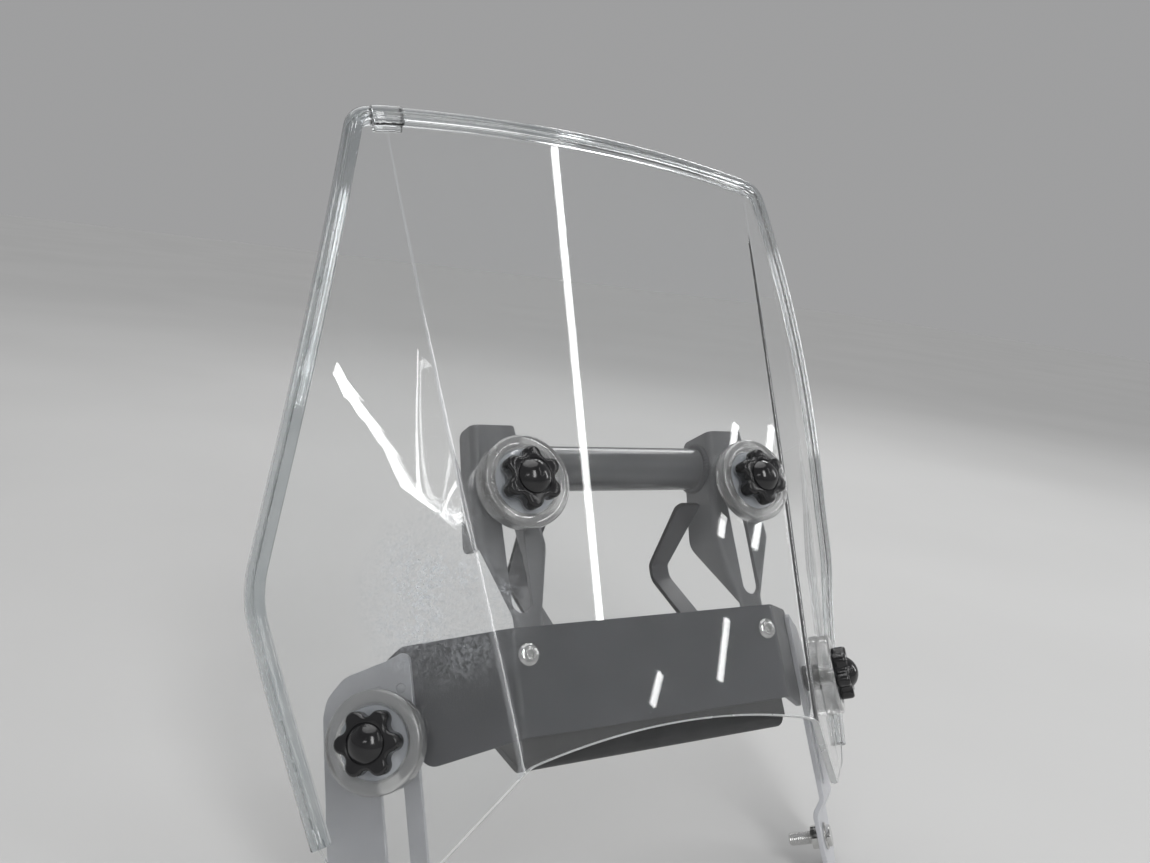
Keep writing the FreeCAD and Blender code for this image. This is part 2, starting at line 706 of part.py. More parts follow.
def joggled_band():
    """Left sheet in front of the wing that steps back below the slot, before it is cut."""
    fold_c, fold_s = polar(WING_DEG)
    low, high = SIDE_JOGGLE_W[1], SIDE_JOGGLE_W[0]
    step = [
        (-PLATE, PLATE_TOP_W + PLATE), (-PLATE, high), (SIDE_JOGGLE - PLATE, low),
        (SIDE_JOGGLE - PLATE, 2 * SIDE_BOLT_W), (SIDE_JOGGLE, 2 * SIDE_BOLT_W),
        (SIDE_JOGGLE, low), (0.0, high), (0.0, PLATE_TOP_W + PLATE),
    ]
    corners = [side_frame(1, 0.0, w, behind) for behind, w in step]
    face = Part.Face(Part.makePolygon(corners + corners[:1]))
    return face.extrude(Vector(fold_c, fold_s, 0) * 2 * lower_run())


def side_plate():
    """Left slotted side plate in front of the centre plate's wing."""
    fold_c, fold_s = polar(WING_DEG)
    slot_run = lower_run()
    rows = [(slot_run + run, w) for run, w in SIDE_OUTLINE]
    plate = joggled_band().common(wing_sheet(rows, -2 * PLATE, SIDE_JOGGLE + 4 * PLATE))
    top = LOWER_W + SLOT_PLAY
    low = LOWER_W - TRAVEL - SLOT_PLAY
    r = SLOT_WIDTH / 2
    ring = [(slot_run - r, top), (slot_run + r, top), (slot_run + r, low), (slot_run - r, low)]
    back = Vector(-fold_s, fold_c, 0)
    slot = wing_sheet(ring, -PLATE - 1, PLATE + 2)
    ends = [rod(r, PLATE + 2, side_frame(1, slot_run, w, -PLATE - 1), back) for w in (top, low)]
    plate = plate.cut(slot.fuse(ends))
    seat = side_frame(1, slot_run, SIDE_BOLT_W, 0.0)
    plate = plate.cut(rod(BOLT_DIA / 2 + SCREW_PLAY, SIDE_JOGGLE + 1, seat, back))
    return plate.cut(rivet_holes(1))


def rivet_places(sign):
    """Back of the wing at each rivet, and the rivets' axis towards the front."""
    fold_c, fold_s = polar(WING_DEG)
    axis = Vector(sign * fold_s, -fold_c, 0)
    return [(side_frame(sign, lower_run() + run, RIVET_W, PLATE), axis) for run in RIVET_RUNS]


def rivet_holes(sign):
    holes = [rod(RIVET_DIA / 2, 3 * PLATE, point, axis) for point, axis in rivet_places(sign)]
    return holes[0].fuse(holes[1:])


def lap_rivets(sign):
    """Two rivets through the side plate and the wing, flush in front."""
    solids = []
    for point, axis in rivet_places(sign):
        tail = point - axis * RIVET_HEAD
        shank = rod(RIVET_DIA / 2, 2 * PLATE + RIVET_HEAD, tail, axis)
        head = rod(RIVET_HEAD_DIA / 2, RIVET_HEAD, tail, axis)
        solids.append(shank.fuse(head).removeSplitter())
    return Part.makeCompound(solids)


def rail():
    """Angle rail: raked flange behind the necks and a level foot with the mounting holes."""
    t = RAIL_SHEET
    corner = Vector(-RAIL_HALF, RAIL_FRONT_V, RAIL_BEND_W)
    raked = Part.makeBox(2 * RAIL_HALF, t, RAIL_TOP_W - RAIL_BEND_W, corner)
    for sign in (1, -1):
        raked = raked.cut(screw_hole(sign))
    raked = to_part_frame(raked)
    front_y, front_z = turned(RAIL_FRONT_V, RAIL_BEND_W)
    front_y -= ORIGIN_Y
    front_z -= ORIGIN_Z
    back_y = RAIL_FOOT - RAIL_HOLE_BACK
    ring = ((front_y, front_z), (-RAIL_HOLE_BACK, t), (back_y, t), (back_y, 0), (front_y, 0))
    corners = [Vector(-RAIL_HALF, y, z) for y, z in ring]
    foot = Part.Face(Part.makePolygon(corners + corners[:1])).extrude(Vector(2 * RAIL_HALF, 0, 0))
    body = raked.fuse(foot).removeSplitter()
    for sign in (1, -1):
        hole = rod(RAIL_HOLE_DIA / 2, 3 * t, Vector(sign * RAIL_HOLE_SPACING / 2, 0, -t), Z_AXIS)
        body = body.cut(hole)
    return body


def plate_screw(sign):
    """Socket button screw through centre plate, upright and rail, with its nut."""
    grip = 2 * PLATE + RAIL_SHEET
    head_base = Vector(sign * SCREW_U, PLATE_FRONT_V, SCREW_W)
    forward = Vector(0, -1, 0)
    head = rod(SCREW_HEAD_DIA / 2, 1.0, head_base, forward)
    crown_r = SCREW_HEAD_DIA / 2 - 1
    crown = Part.makeCone(crown_r, crown_r - 1.6, SCREW_HEAD - 1, head_base + forward, forward)
    length = grip + NUT_HEIGHT + 2
    shank = rod(SCREW_DIA / 2, length, head_base - forward * length, forward)
    nut = hexagon(10.0, NUT_HEIGHT)
    nut.rotate(Vector(0, 0, 0), X_AXIS, -90)
    nut.translate(head_base - forward * grip)
    socket = hexagon(4.0, 2.0)
    socket.rotate(Vector(0, 0, 0), X_AXIS, 90)
    socket.translate(head_base + forward * (SCREW_HEAD - 1.8))
    return head.fuse([crown, shank, nut]).removeSplitter().cut(socket)


def hexagon(across, height):
    r = across / math.sqrt(3)
    corners = [Vector(r * polar(60 * k)[0], r * polar(60 * k)[1], 0) for k in range(6)]
    return Part.Face(Part.makePolygon(corners + corners[:1])).extrude(Vector(0, 0, height))


def side_bolt(sign):
    """Flange bolt at the foot of a side plate, with its nut and its free shank behind."""
    fold_c, fold_s = polar(WING_DEG)
    axis = Vector(sign * fold_s, -fold_c, 0)
    seat = side_frame(sign, lower_run(), SIDE_BOLT_W, SIDE_JOGGLE - PLATE)
    flange = rod(SIDE_BOLT_HEAD_DIA / 2, 1.6, seat, axis)
    head = in_axis_frame(hexagon(12.0, SIDE_BOLT_HEAD - 1.0), seat + axis, axis)
    nut = in_axis_frame(hexagon(SIDE_NUT_ACROSS, NUT_HEIGHT), seat - axis * (PLATE + NUT_HEIGHT), axis)
    length = PLATE + NUT_HEIGHT + SIDE_BOLT_FREE
    shank = rod(BOLT_DIA / 2, length + 1, seat - axis * length, axis)
    return flange.fuse([head, nut, shank]).removeSplitter()


def write(name, shape, raked=True):
    placed = to_part_frame(shape) if raked else shape
    placed.exportStep(os.path.join("parts", name + ".step"))
    print(name, len(placed.Solids), round(placed.Volume / 1000, 2), placed.isValid())


def main():
    os.makedirs("parts", exist_ok=True)
    sheet = oversize_sheet()
    panel = screen_panel(sheet)
    write("screen_panel", panel)
    sleeve_ends = (SLEEVE_U - SLEEVE_LENGTH / 2, SLEEVE_U + SLEEVE_LENGTH / 2)
    write("edge_trim_main", channel(sheet, edge_runs(sleeve_ends[1], 1), TRIM))
    write("edge_trim_short", channel(sheet, edge_runs(sleeve_ends[0], -1), TRIM))
    top = outline_edges()[0]
    sleeve_rows = samples(top, 3, top_share(sleeve_ends[0]), top_share(sleeve_ends[1]))
    write("trim_sleeve", channel(sheet, [sleeve_rows], SLEEVE))
    for name, point, axis in clamp_points():
        reach = plate_distance(point, axis, name.startswith("upper"))
        patch_rod = rod(WASHER_DIA / 2 + SHEET, WASHER_DIA, point - axis * WASHER_DIA / 2, axis)
        patch = sheet.common(patch_rod)
        write("washer_" + name, washer(patch, point, axis))
        seat = point + axis * (WASHER_HEIGHT - RECESS_DEPTH)
        write("knob_" + name, in_axis_frame(knob(), seat, axis))
        write("spacer_" + name, spacer(patch, point, axis, reach))
        write("slide_bolt_" + name, slide_bolt(point, axis, reach))
    write("centre_plate", centre_plate())
    write("crossbar", crossbar())
    write("mounting_rail", rail(), raked=False)
    for side, sign in (("left", 1), ("right", -1)):
        pair = (("upright_", upright()), ("brace_", brace()), ("side_plate_", side_plate()))
        for stem, shape in pair:
            write(stem + side, shape if sign > 0 else mirrored(shape))
        write("plate_screw_" + side, plate_screw(sign))
        write("side_bolt_" + side, side_bolt(sign))
        write("lap_rivets_" + side, lap_rivets(sign))


main()
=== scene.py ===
import math

import bmesh
import bpy
import numpy as np
from mathutils import Matrix, Vector
from mathutils.geometry import delaunay_2d_cdt


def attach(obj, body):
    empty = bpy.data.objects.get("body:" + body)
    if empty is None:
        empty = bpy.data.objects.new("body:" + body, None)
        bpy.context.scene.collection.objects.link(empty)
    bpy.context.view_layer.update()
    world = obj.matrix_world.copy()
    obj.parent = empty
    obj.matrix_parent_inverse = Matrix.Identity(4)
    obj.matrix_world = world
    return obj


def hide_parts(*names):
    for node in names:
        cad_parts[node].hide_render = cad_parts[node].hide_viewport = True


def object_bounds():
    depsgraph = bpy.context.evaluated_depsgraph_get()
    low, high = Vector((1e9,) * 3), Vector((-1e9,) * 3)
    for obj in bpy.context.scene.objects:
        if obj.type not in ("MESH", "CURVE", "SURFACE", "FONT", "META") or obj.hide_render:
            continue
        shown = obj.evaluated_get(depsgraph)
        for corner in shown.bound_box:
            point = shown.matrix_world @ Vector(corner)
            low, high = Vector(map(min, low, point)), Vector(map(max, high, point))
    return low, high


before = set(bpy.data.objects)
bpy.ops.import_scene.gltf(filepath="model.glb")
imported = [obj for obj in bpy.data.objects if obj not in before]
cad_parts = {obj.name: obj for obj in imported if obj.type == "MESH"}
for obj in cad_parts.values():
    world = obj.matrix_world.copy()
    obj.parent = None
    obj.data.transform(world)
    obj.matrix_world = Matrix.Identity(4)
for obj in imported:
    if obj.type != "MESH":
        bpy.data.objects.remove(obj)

CAD_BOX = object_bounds()

# Camera: place, line of sight and roll, in metres and degrees
CAMERA_AT = Vector((-0.3074, -0.4107, 0.2539))
CAMERA_FORWARD = Vector((0.50903, 0.84282, -0.17476))
CAMERA_ROLL_DEG = 7.49
SENSOR_MM = 36.0
LENS_MM = 29.9

# Raked frame in millimetres: u along X, v back through the screen, w up along the slots
MM = 0.001
RAKE = math.radians(31.0)
RAIL_BACK_V = 25.5
RAIL_BEND_W = -140.0
RAIL_HOLE_BACK = 34.0
RAIL_SHEET = 4.0
COS_R, SIN_R = math.cos(RAKE), math.sin(RAKE)
ORIGIN_Y = RAIL_BACK_V * COS_R + RAIL_BEND_W * SIN_R + RAIL_HOLE_BACK
ORIGIN_Z = -RAIL_BACK_V * SIN_R + RAIL_BEND_W * COS_R - RAIL_SHEET
# Sides of the rider and their signs along u
SIDES = (("left", 1), ("right", -1))

# Screen sheet. Columns: w, half width at the crease, fold, flat length, flare length, end angle
SHEET, SHEET_EDGE = 4.0, 0.9
SECTIONS = [
    (-200.0, 89.5, 41.0, 88.0, 50.0, 0.0),
    (-117.0, 95.5, 41.0, 88.0, 50.0, 0.0),
    (-40.0, 104.0, 39.0, 82.0, 60.0, 0.0),
    (28.0, 111.6, 34.0, 58.0, 50.0, 2.0),
    (80.0, 117.0, 28.0, 40.0, 46.0, 2.0),
    (150.0, 124.0, 19.0, 24.0, 38.0, 2.0),
    (245.0, 132.0, 8.0, 12.0, 30.0, 2.0),
]
CENTRE_RADIUS = 1400.0
CREASE_RADIUS = 6.0
# Half width of the strip along each crease that takes the painted highlight
CREASE_HIGHLIGHT_HALF = 2.2
SPARE_RUN = 50.0
# Dense samples of the five runs of a half section, and those that carry the mesh's columns
RUN_SAMPLES = (40, 16, 24, 44, 8)
RUN_COLUMNS = (8, 8, 7, 12, 2)
ROW_STEP = 6.0
GRID_LOW_W, GRID_HIGH_W = -186.0, 228.0
# Points of each rounded corner of a bent path
BEND_POINTS = 13
# Points from which a grid is large, and the gap kept between its points and the sheet's loops
LARGE_GRID = 400
LARGE_MARGIN, SMALL_MARGIN = 0.45 * ROW_STEP, 1.2
# Right half of the outline. Columns: u, w and the radius of the corner
HALF_WIDTH = 202.0
FLANK = [
    (HALF_WIDTH - 55.0, 218.5, 11.0), (HALF_WIDTH, -38.0, 70.0), (HALF_WIDTH - 27.0, -162.0, 7.0),
    (HALF_WIDTH - 33.0, -175.0, 7.0), (HALF_WIDTH - 69.0, -182.0, 9.0),
]
FLANK_AIM = (HALF_WIDTH - 8.5, 0.0)
TOP_MID_W = 224.5
TOP_CROWN = 5.0
ARCH_END = (91.5, -140.0, 12.0)
ARCH_MID_W = -130.0
OUTLINE_STEP = 3.0

# Clamps: half spacings and heights of the two rows, and the wing's angle
UPPER_U = 77.0
LOWER_U = HALF_WIDTH - 53.0
LOWER_W = -117.0
WING = math.radians(41.0)
COS_WING, SIN_WING = math.cos(WING), math.sin(WING)
BOLT_DIA = 8.0
HOLE_DIA = 9.2

# Stay: sheets, where its front stands, travel and slots
PLATE = 3.0
PLATE_V = 15.5
UPRIGHT_V = PLATE_V + PLATE
PLATE_BEND_U = 86.5
TRAVEL = 58.0
SLOT_DIA = 12.0
# Play of the slot beyond the slide's ends
SLOT_END = 0.6


# Materials

def fill_inputs(tree, node, values):
    """Give a node's inputs numbers, or link them to other nodes' outputs."""
    for key, value in values.items():
        if isinstance(value, bpy.types.NodeSocket):
            tree.links.new(value, node.inputs[key])
        else:
            node.inputs[key].default_value = value


def add_node(tree, kind, values, output=0, **settings):
    node = tree.nodes.new("ShaderNode" + kind)
    for name, setting in settings.items():
        setattr(node, name, setting)
    fill_inputs(tree, node, values)
    return node.outputs[output]


def link_noise(tree, scale, detail=4.0, stretch=None):
    """Noise over the object's own coordinates, stretched if wanted."""
    place = add_node(tree, "TexCoord", {}, "Object")
    if stretch:
        place = add_node(tree, "Mapping", {"Vector": place, "Scale": stretch})
    return add_node(tree, "TexNoise", {"Vector": place, "Scale": scale, "Detail": detail}, "Fac")


def link_range(tree, source, low, high, first, last):
    return add_node(tree, "MapRange", {"Value": source, "From Min": low, "From Max": high,
                                       "To Min": first, "To Max": last}, "Result")


def link_mix(tree, factor, dark, light):
    return add_node(tree, "Mix", {"Factor": factor, 6: (*dark, 1), 7: (*light, 1)}, 2,
                    data_type="RGBA")


def link_math(tree, operation, first, second):
    return add_node(tree, "Math", {0: first, 1: second}, "Value", operation=operation)


def make_material(name, dark, light, rough, blotch, grain, bump, **sockets):
    """Principled surface with a blotchy colour and roughness and a fine grain."""
    material = bpy.data.materials.new(name)
    material.use_nodes = True
    tree = material.node_tree
    blotches = link_noise(tree, blotch)
    values = {
        "Base Color": link_mix(tree, link_range(tree, blotches, 0.35, 0.65, 0, 1), dark, light),
        "Roughness": link_range(tree, blotches, 0.3, 0.7, *rough),
    }
    if bump:
        height = link_noise(tree, grain, 3.0)
        values["Normal"] = add_node(
            tree, "Bump", {"Strength": bump[0], "Distance": bump[1], "Height": height}, "Normal")
    values.update((label.replace("_", " "), value) for label, value in sockets.items())
    fill_inputs(tree, tree.nodes["Principled BSDF"], values)
    return material


# Place on the left wing where the sheet is scuffed, in the part frame, and its spread
SCUFF_AT = (-0.118, 0.006, 0.083)
SCUFF_SPREAD = 0.052


def scratched_sheet():
    """Clear sheet with hairline scratches all over and a scuffed patch."""
    material = make_material("clear_sheet", (0.955, 0.97, 0.975), (0.965, 0.975, 0.975),
                             (0.0, 0.02), 9.0, 60.0, None, Transmission_Weight=1.0, IOR=1.49)
    tree = material.node_tree
    place = add_node(tree, "TexCoord", {}, "Object")
    gap = add_node(tree, "VectorMath", {0: place, 1: SCUFF_AT}, "Value", operation="DISTANCE")
    patch = link_range(tree, gap, 0.0, SCUFF_SPREAD, 1.0, 0.0)
    islands = link_range(tree, link_noise(tree, 38.0, 4.0), 0.4, 0.6, 0.3, 1.0)
    patch = link_math(tree, "MULTIPLY", patch, islands)
    grain = link_range(tree, link_noise(tree, 420.0, 5.0), 0.44, 0.64, 0.0, 0.68)
    lines = link_range(tree, link_noise(tree, 60.0, 8.0, (1.2, 22.0, 14.0)), 0.57, 0.66, 0.0, 1.0)
    cross = link_range(tree, link_noise(tree, 60.0, 8.0, (20.0, 2.0, 9.0)), 0.58, 0.67, 0.0, 1.0)
    marks = link_math(tree, "MAXIMUM", lines, cross)
    scuffed = link_math(tree, "MULTIPLY", patch, link_math(tree, "MAXIMUM", grain, marks))
    amount = link_math(tree, "ADD", link_math(tree, "MULTIPLY", marks, 0.06), scuffed)
    fill_inputs(tree, tree.nodes["Principled BSDF"], {
        "Roughness": link_range(tree, amount, 0.0, 1.0, 0.0, 0.55),
        "Base Color": link_mix(tree, scuffed, (0.965, 0.972, 0.972), (0.82, 0.9, 1.0)),
        "Transmission Weight": link_range(tree, scuffed, 0.0, 1.0, 0.975, 0.42),
    })
    return material


EDGE_MATERIAL = make_material("polished_edge", (0.93, 0.95, 0.95), (0.97, 0.975, 0.975),
                              (0.25, 0.35), 60.0, 400.0, (0.1, 0.0002),
                              Transmission_Weight=0.55, IOR=1.49)
# Painted highlight: the crease strip is whiter and less clear than the sheet, standing in for the
# bright reflected lines along the crease
CREASE_HIGHLIGHT_MATERIAL = make_material("crease_painted_highlight", (0.93, 0.95, 0.97), (0.96, 0.97, 0.98),
                              (0.02, 0.08), 30.0, 300.0, None,
                              Transmission_Weight=0.87, IOR=1.49)
# Painted sheen: a lighter copy of the stay's powder coat for the uprights, its extra lightness
# standing in for glare
UPRIGHT_SHEEN_MATERIAL = make_material("upright_painted_sheen", (0.15, 0.153, 0.162), (0.18, 0.183, 0.192),
                               (0.3, 0.4), 45.0, 1100.0, (0.3, 0.0002))
# Painted sheen: a lighter, glossier copy of the stay's powder coat for the crossbar, its extra
# lightness standing in for reflected light
BAR_SHEEN_MATERIAL = make_material("tube_painted_sheen", (0.09, 0.093, 0.1), (0.11, 0.113, 0.12),
                             (0.18, 0.26), 45.0, 1100.0, (0.2, 0.0001), Specular_IOR_Level=0.8)
# Painted reflection: a lighter, bluer copy of the milky boss for the recess floor round each knob
RECESS_REFLECTION_MATERIAL = make_material("recess_painted_reflection", (0.6, 0.64, 0.69), (0.7, 0.73, 0.77), (0.3, 0.4),
                                40.0, 700.0, None, Transmission_Weight=0.5, IOR=1.49,
                                Coat_Weight=1.0, Coat_Roughness=0.05)
MATERIALS = {
    "screen": scratched_sheet(),
    "trim": make_material("clear_bead", (0.8, 0.825, 0.835), (0.86, 0.875, 0.88), (0.0, 0.03),
                          40.0, 300.0, (0.04, 0.0004), Transmission_Weight=1.0, IOR=1.5),
    "sleeve": make_material("clear_joiner", (0.8, 0.82, 0.83), (0.86, 0.87, 0.87), (0.04, 0.1),
                            80.0, 500.0, (0.2, 0.0003), Transmission_Weight=1.0, IOR=1.5),
    "washer": make_material("milky_boss", (0.72, 0.725, 0.72), (0.78, 0.785, 0.78), (0.2, 0.28),
                            30.0, 700.0, None, Transmission_Weight=0.87, IOR=1.49,
                            Coat_Weight=1.0, Coat_Roughness=0.03),
    "knob": make_material("black_knob", (0.008, 0.008, 0.009), (0.014, 0.014, 0.015),
                          (0.1, 0.2), 120.0, 900.0, (0.08, 0.0002), IOR=1.52),
    "spacer": make_material("bush_polymer", (0.02, 0.02, 0.021), (0.035, 0.035, 0.036),
                            (0.45, 0.6), 150.0, 1200.0, (0.3, 0.0002)),
    "bolt": make_material("plated_steel", (0.42, 0.42, 0.41), (0.56, 0.56, 0.54), (0.24, 0.36),
                          220.0, 1500.0, (0.15, 0.0001), Metallic=1.0),
    "stay": make_material("powder_coat", (0.052, 0.055, 0.063), (0.068, 0.071, 0.08),
                          (0.36, 0.48), 45.0, 1100.0, (0.35, 0.0002)),
    "side_plate": make_material("grey_coat", (0.58, 0.59, 0.62), (0.64, 0.65, 0.68),
                                (0.32, 0.42), 50.0, 1100.0, (0.3, 0.0002), Metallic=0.2),
    "rail": make_material("rail_coat", (0.026, 0.027, 0.028), (0.04, 0.041, 0.042),
                          (0.4, 0.52), 45.0, 1000.0, (0.35, 0.0002)),
    "fastener": make_material("bright_steel", (0.6, 0.6, 0.59), (0.7, 0.7, 0.69), (0.16, 0.26),
                              250.0, 1500.0, (0.1, 0.0001), Metallic=1.0),
}


# Meshes

def turned(vectors):
    """Raked directions to those of the part frame."""
    u, v, w = np.asarray(vectors, dtype=float).T
    return np.stack([u, v * COS_R + w * SIN_R, -v * SIN_R + w * COS_R], axis=1)


def to_metres(points):
    """Raked millimetres to the part frame in metres."""
    return (turned(points) - (0.0, ORIGIN_Y, ORIGIN_Z)) * MM


def unit(vectors):
    length = np.linalg.norm(vectors, axis=-1, keepdims=True)
    return vectors / np.maximum(length, 1e-12)


def add_object(name, data):
    thing = bpy.data.objects.new(name, data)
    bpy.context.scene.collection.objects.link(thing)
    return thing


def add_piece(name, verts, faces, body, slot, stands_for=(), normals=None, sharp=40.0,
              material=None):
    """Mesh object from raked millimetres that rides on a body."""
    mesh = bpy.data.meshes.new(name)
    mesh.from_pydata(to_metres(verts).tolist(), [], [list(map(int, f)) for f in faces])
    mesh.validate()
    mesh.shade_smooth()
    if normals is None:
        mesh.set_sharp_from_angle(angle=math.radians(sharp))
    else:
        mesh.normals_split_custom_set_from_vertices(turned(normals).tolist())
    piece = add_object(name, mesh)
    mesh.materials.append(material or MATERIALS[slot])
    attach(piece, body)
    if stands_for:
        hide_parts(*stands_for)
    return piece


def paint(piece, material, chosen):
    """Give the chosen faces a further material."""
    mesh = piece.data
    mesh.materials.append(material)
    for k in np.flatnonzero(chosen):
        mesh.polygons[int(k)].material_index = len(mesh.materials) - 1


# Sheets cut from a flat pattern and bent

def loop_area(loop):
    x, y = loop[:, 0], loop[:, 1]
    return 0.5 * float(np.sum(x * np.roll(y, -1) - y * np.roll(x, -1)))


def offset_loop(loop, inset):
    """Loop moved to the left of its travel."""
    ahead = unit(np.roll(loop, -1, axis=0) - loop)
    behind = unit(loop - np.roll(loop, 1, axis=0))
    left_a = np.stack([-ahead[:, 1], ahead[:, 0]], axis=1)
    left_b = np.stack([-behind[:, 1], behind[:, 0]], axis=1)
    middle = unit(left_a + left_b)
    share = np.maximum(np.sum(middle * left_a, axis=1), 0.5)
    return loop + middle * (inset / share)[:, None]


def inside(points, loop):
    """Whether each point lies in a loop, by crossings."""
    x, y = points[:, 0][:, None], points[:, 1][:, None]
    ax, ay = loop[:, 0][None, :], loop[:, 1][None, :]
    bx, by = np.roll(loop[:, 0], -1)[None, :], np.roll(loop[:, 1], -1)[None, :]
    spans = (ay > y) != (by > y)
    with np.errstate(divide="ignore", invalid="ignore"):
        cross = ax + (y - ay) / (by - ay) * (bx - ax)
    return (np.sum(spans & (x < cross), axis=1) % 2) == 1


def far_from(points, loops, distance):
    keep = np.ones(len(points), dtype=bool)
    for loop in loops:
        gap = np.linalg.norm(points[:, None, :] - loop[None, :, :], axis=2).min(axis=1)
        keep &= gap > distance
    return keep


def in_sheet(points, loops):
    """Whether each point lies in the outer loop and in none of the holes."""
    keep = inside(points, loops[0])
    for hole in loops[1:]:
        keep &= ~inside(points, hole)
    return keep


def triangulate(loops, grid):
    """Triangles between an outer loop and its holes, over the loops' and the grid's points."""
    grid = grid[in_sheet(grid, loops)]
    grid = grid[far_from(grid, loops, LARGE_MARGIN if len(grid) > LARGE_GRID else SMALL_MARGIN)]
    edges, runs, first = [], [], 0
    for loop in loops:
        run = list(range(first, first + len(loop)))
        edges += zip(run, run[1:] + run[:1])
        runs.append(run)
        first += len(loop)
    points = [Vector(p) for p in np.concatenate(loops + [grid])]
    coords, _, triangles, sources, _, _ = delaunay_2d_cdt(points, edges, [], 0, 1e-5, True)
    place_of = {old: new for new, olds in enumerate(sources) for old in olds}
    flat = np.array([tuple(c) for c in coords])
    triangles = np.array([t for t in triangles if len(t) == 3])
    keep = in_sheet(flat[triangles].mean(axis=1), loops)
    return flat, triangles[keep], [np.array([place_of[k] for k in run]) for run in runs]


def surface_normals(place, flat, depth, step=0.05):
    """Normals towards the front of a bent sheet at flat points."""
    ds = place(flat + (step, 0), depth) - place(flat - (step, 0), depth)
    dw = place(flat + (0, step), depth) - place(flat - (0, step), depth)
    return unit(np.cross(ds, dw))


def bent_sheet(name, loops, grid, place, thick, edge, rim=None, marked=None, **facts):
    """Sheet between its front at depth 0 and its back, with rounded edges all round.

    place maps flat points and a depth to raked millimetres. rim is the material of the edges;
    marked is a further material and a test for the flat points of the faces that take it.
    """
    loops = [l if (loop_area(l) > 0) == (k == 0) else l[::-1] for k, l in enumerate(loops)]
    flat, triangles, ids = triangulate([offset_loop(loop, edge) for loop in loops], grid)
    verts = [place(flat, 0.0), place(flat, thick)]
    normals = [surface_normals(place, flat, 0.0), -surface_normals(place, flat, thick)]
    count = len(flat)
    faces = [tuple(t) for t in triangles] + [tuple(t[::-1] + count) for t in triangles]
    total = 2 * count
    stations = [(edge * (1 - math.sin(a)), edge * (1 - math.cos(a)), a)
                for a in [math.pi / 8 * k for k in (1, 2, 3, 4)]]
    stations += [(inset, thick - depth, math.pi - a) for inset, depth, a in reversed(stations)]
    for loop, ring_ids in zip(loops, ids):
        rings = [ring_ids]
        for inset, depth, angle in stations:
            edge_loop = offset_loop(loop, inset) if inset > 1e-9 else loop
            spot = place(edge_loop, depth)
            outward = unit(spot - place(offset_loop(loop, inset + 0.3), depth))
            face_normal = surface_normals(place, edge_loop, depth)
            verts.append(spot)
            normals.append(unit(face_normal * math.cos(angle) + outward * math.sin(angle)))
            rings.append(np.arange(total, total + len(loop)))
            total += len(loop)
        rings.append(ring_ids + count)
        for a, b in zip(rings, rings[1:]):
            faces += zip(a, b, np.roll(b, -1), np.roll(a, -1))
    piece = add_piece(name, np.concatenate(verts), faces, normals=np.concatenate(normals), **facts)
    flat_faces, all_faces = 2 * len(triangles), len(piece.data.polygons)
    if rim:
        paint(piece, rim, np.arange(all_faces) >= flat_faces)
    if marked:
        material, is_marked = marked
        chosen = is_marked(flat[triangles].mean(axis=1))
        rest = np.zeros(all_faces - flat_faces, dtype=bool)
        paint(piece, material, np.concatenate([chosen, chosen, rest]))


def arc_points(centre, radius, first, last, step=1.2):
    count = max(3, int(abs(last - first) * radius / step) + 1)
    angles = np.linspace(first, last, count)
    return [(centre[0] + radius * math.cos(a), centre[1] + radius * math.sin(a)) for a in angles]


def short_turn(first, last):
    """Turn from one angle to another by the shorter way."""
    return (last - first + math.pi) % (2 * math.pi) - math.pi


def fillet(before, corner, after, radius):
    """Centre, first angle, sweep and length of each tangent of a rounded corner."""
    here = Vector(corner)
    back, ahead = (Vector(before) - here).normalized(), (Vector(after) - here).normalized()
    half = back.angle(ahead) / 2
    reach = radius / math.tan(half)
    centre = here + (back + ahead).normalized() * (radius / math.sin(half))
    start, end = here + back * reach - centre, here + ahead * reach - centre
    first = math.atan2(start.y, start.x)
    return centre, first, short_turn(first, math.atan2(end.y, end.x)), reach


def corner_arc(corner, before, after, radius, step):
    centre, first, sweep, _ = fillet(before[:2], corner[:2], after[:2], radius)
    return arc_points(centre, radius, first, first + sweep, step)


def rounded_loop(corners, step=2.0):
    """Dense loop through corners given as x, y and radius."""
    points = []
    for before, corner, after in zip(corners[-1:] + corners, corners, corners[1:] + corners[:1]):
        points += corner_arc(corner, before, after, corner[2], min(step, corner[2] / 5))
    return thicken(points + points[:1], step)[:-1]


def thicken(points, step, least=0.0):
    """Run with points added wherever two are further apart than the step.

    Points closer to the one before them than the least gap are left out.
    """
    rows = [np.array(points[0])]
    for a, b in zip(points, points[1:]):
        a, b = np.array(a), np.array(b)
        gap = np.linalg.norm(b - a)
        if gap >= least:
            parts = max(1, math.ceil(gap / step))
            rows += [a + (b - a) * (j + 1) / parts for j in range(parts)]
    return np.array(rows)


def circle_loop(x, y, radius, count=40):
    return ring(radius, 0.0, count)[:, :2] + (x, y)


def slot_loop(x, top, low, radius):
    """Upright slot with round ends, its end centres at two heights."""
    return rounded_loop([
        (x - radius, low - radius, radius * 0.999), (x + radius, low - radius, radius * 0.999),
        (x + radius, top + radius, radius * 0.999), (x - radius, top + radius, radius * 0.999),
    ], step=1.5)


def grid_points(xs, ys):
    gx, gy = np.meshgrid(np.array(xs, dtype=float), np.array(ys, dtype=float))
    return np.stack([gx.ravel(), gy.ravel()], axis=1)


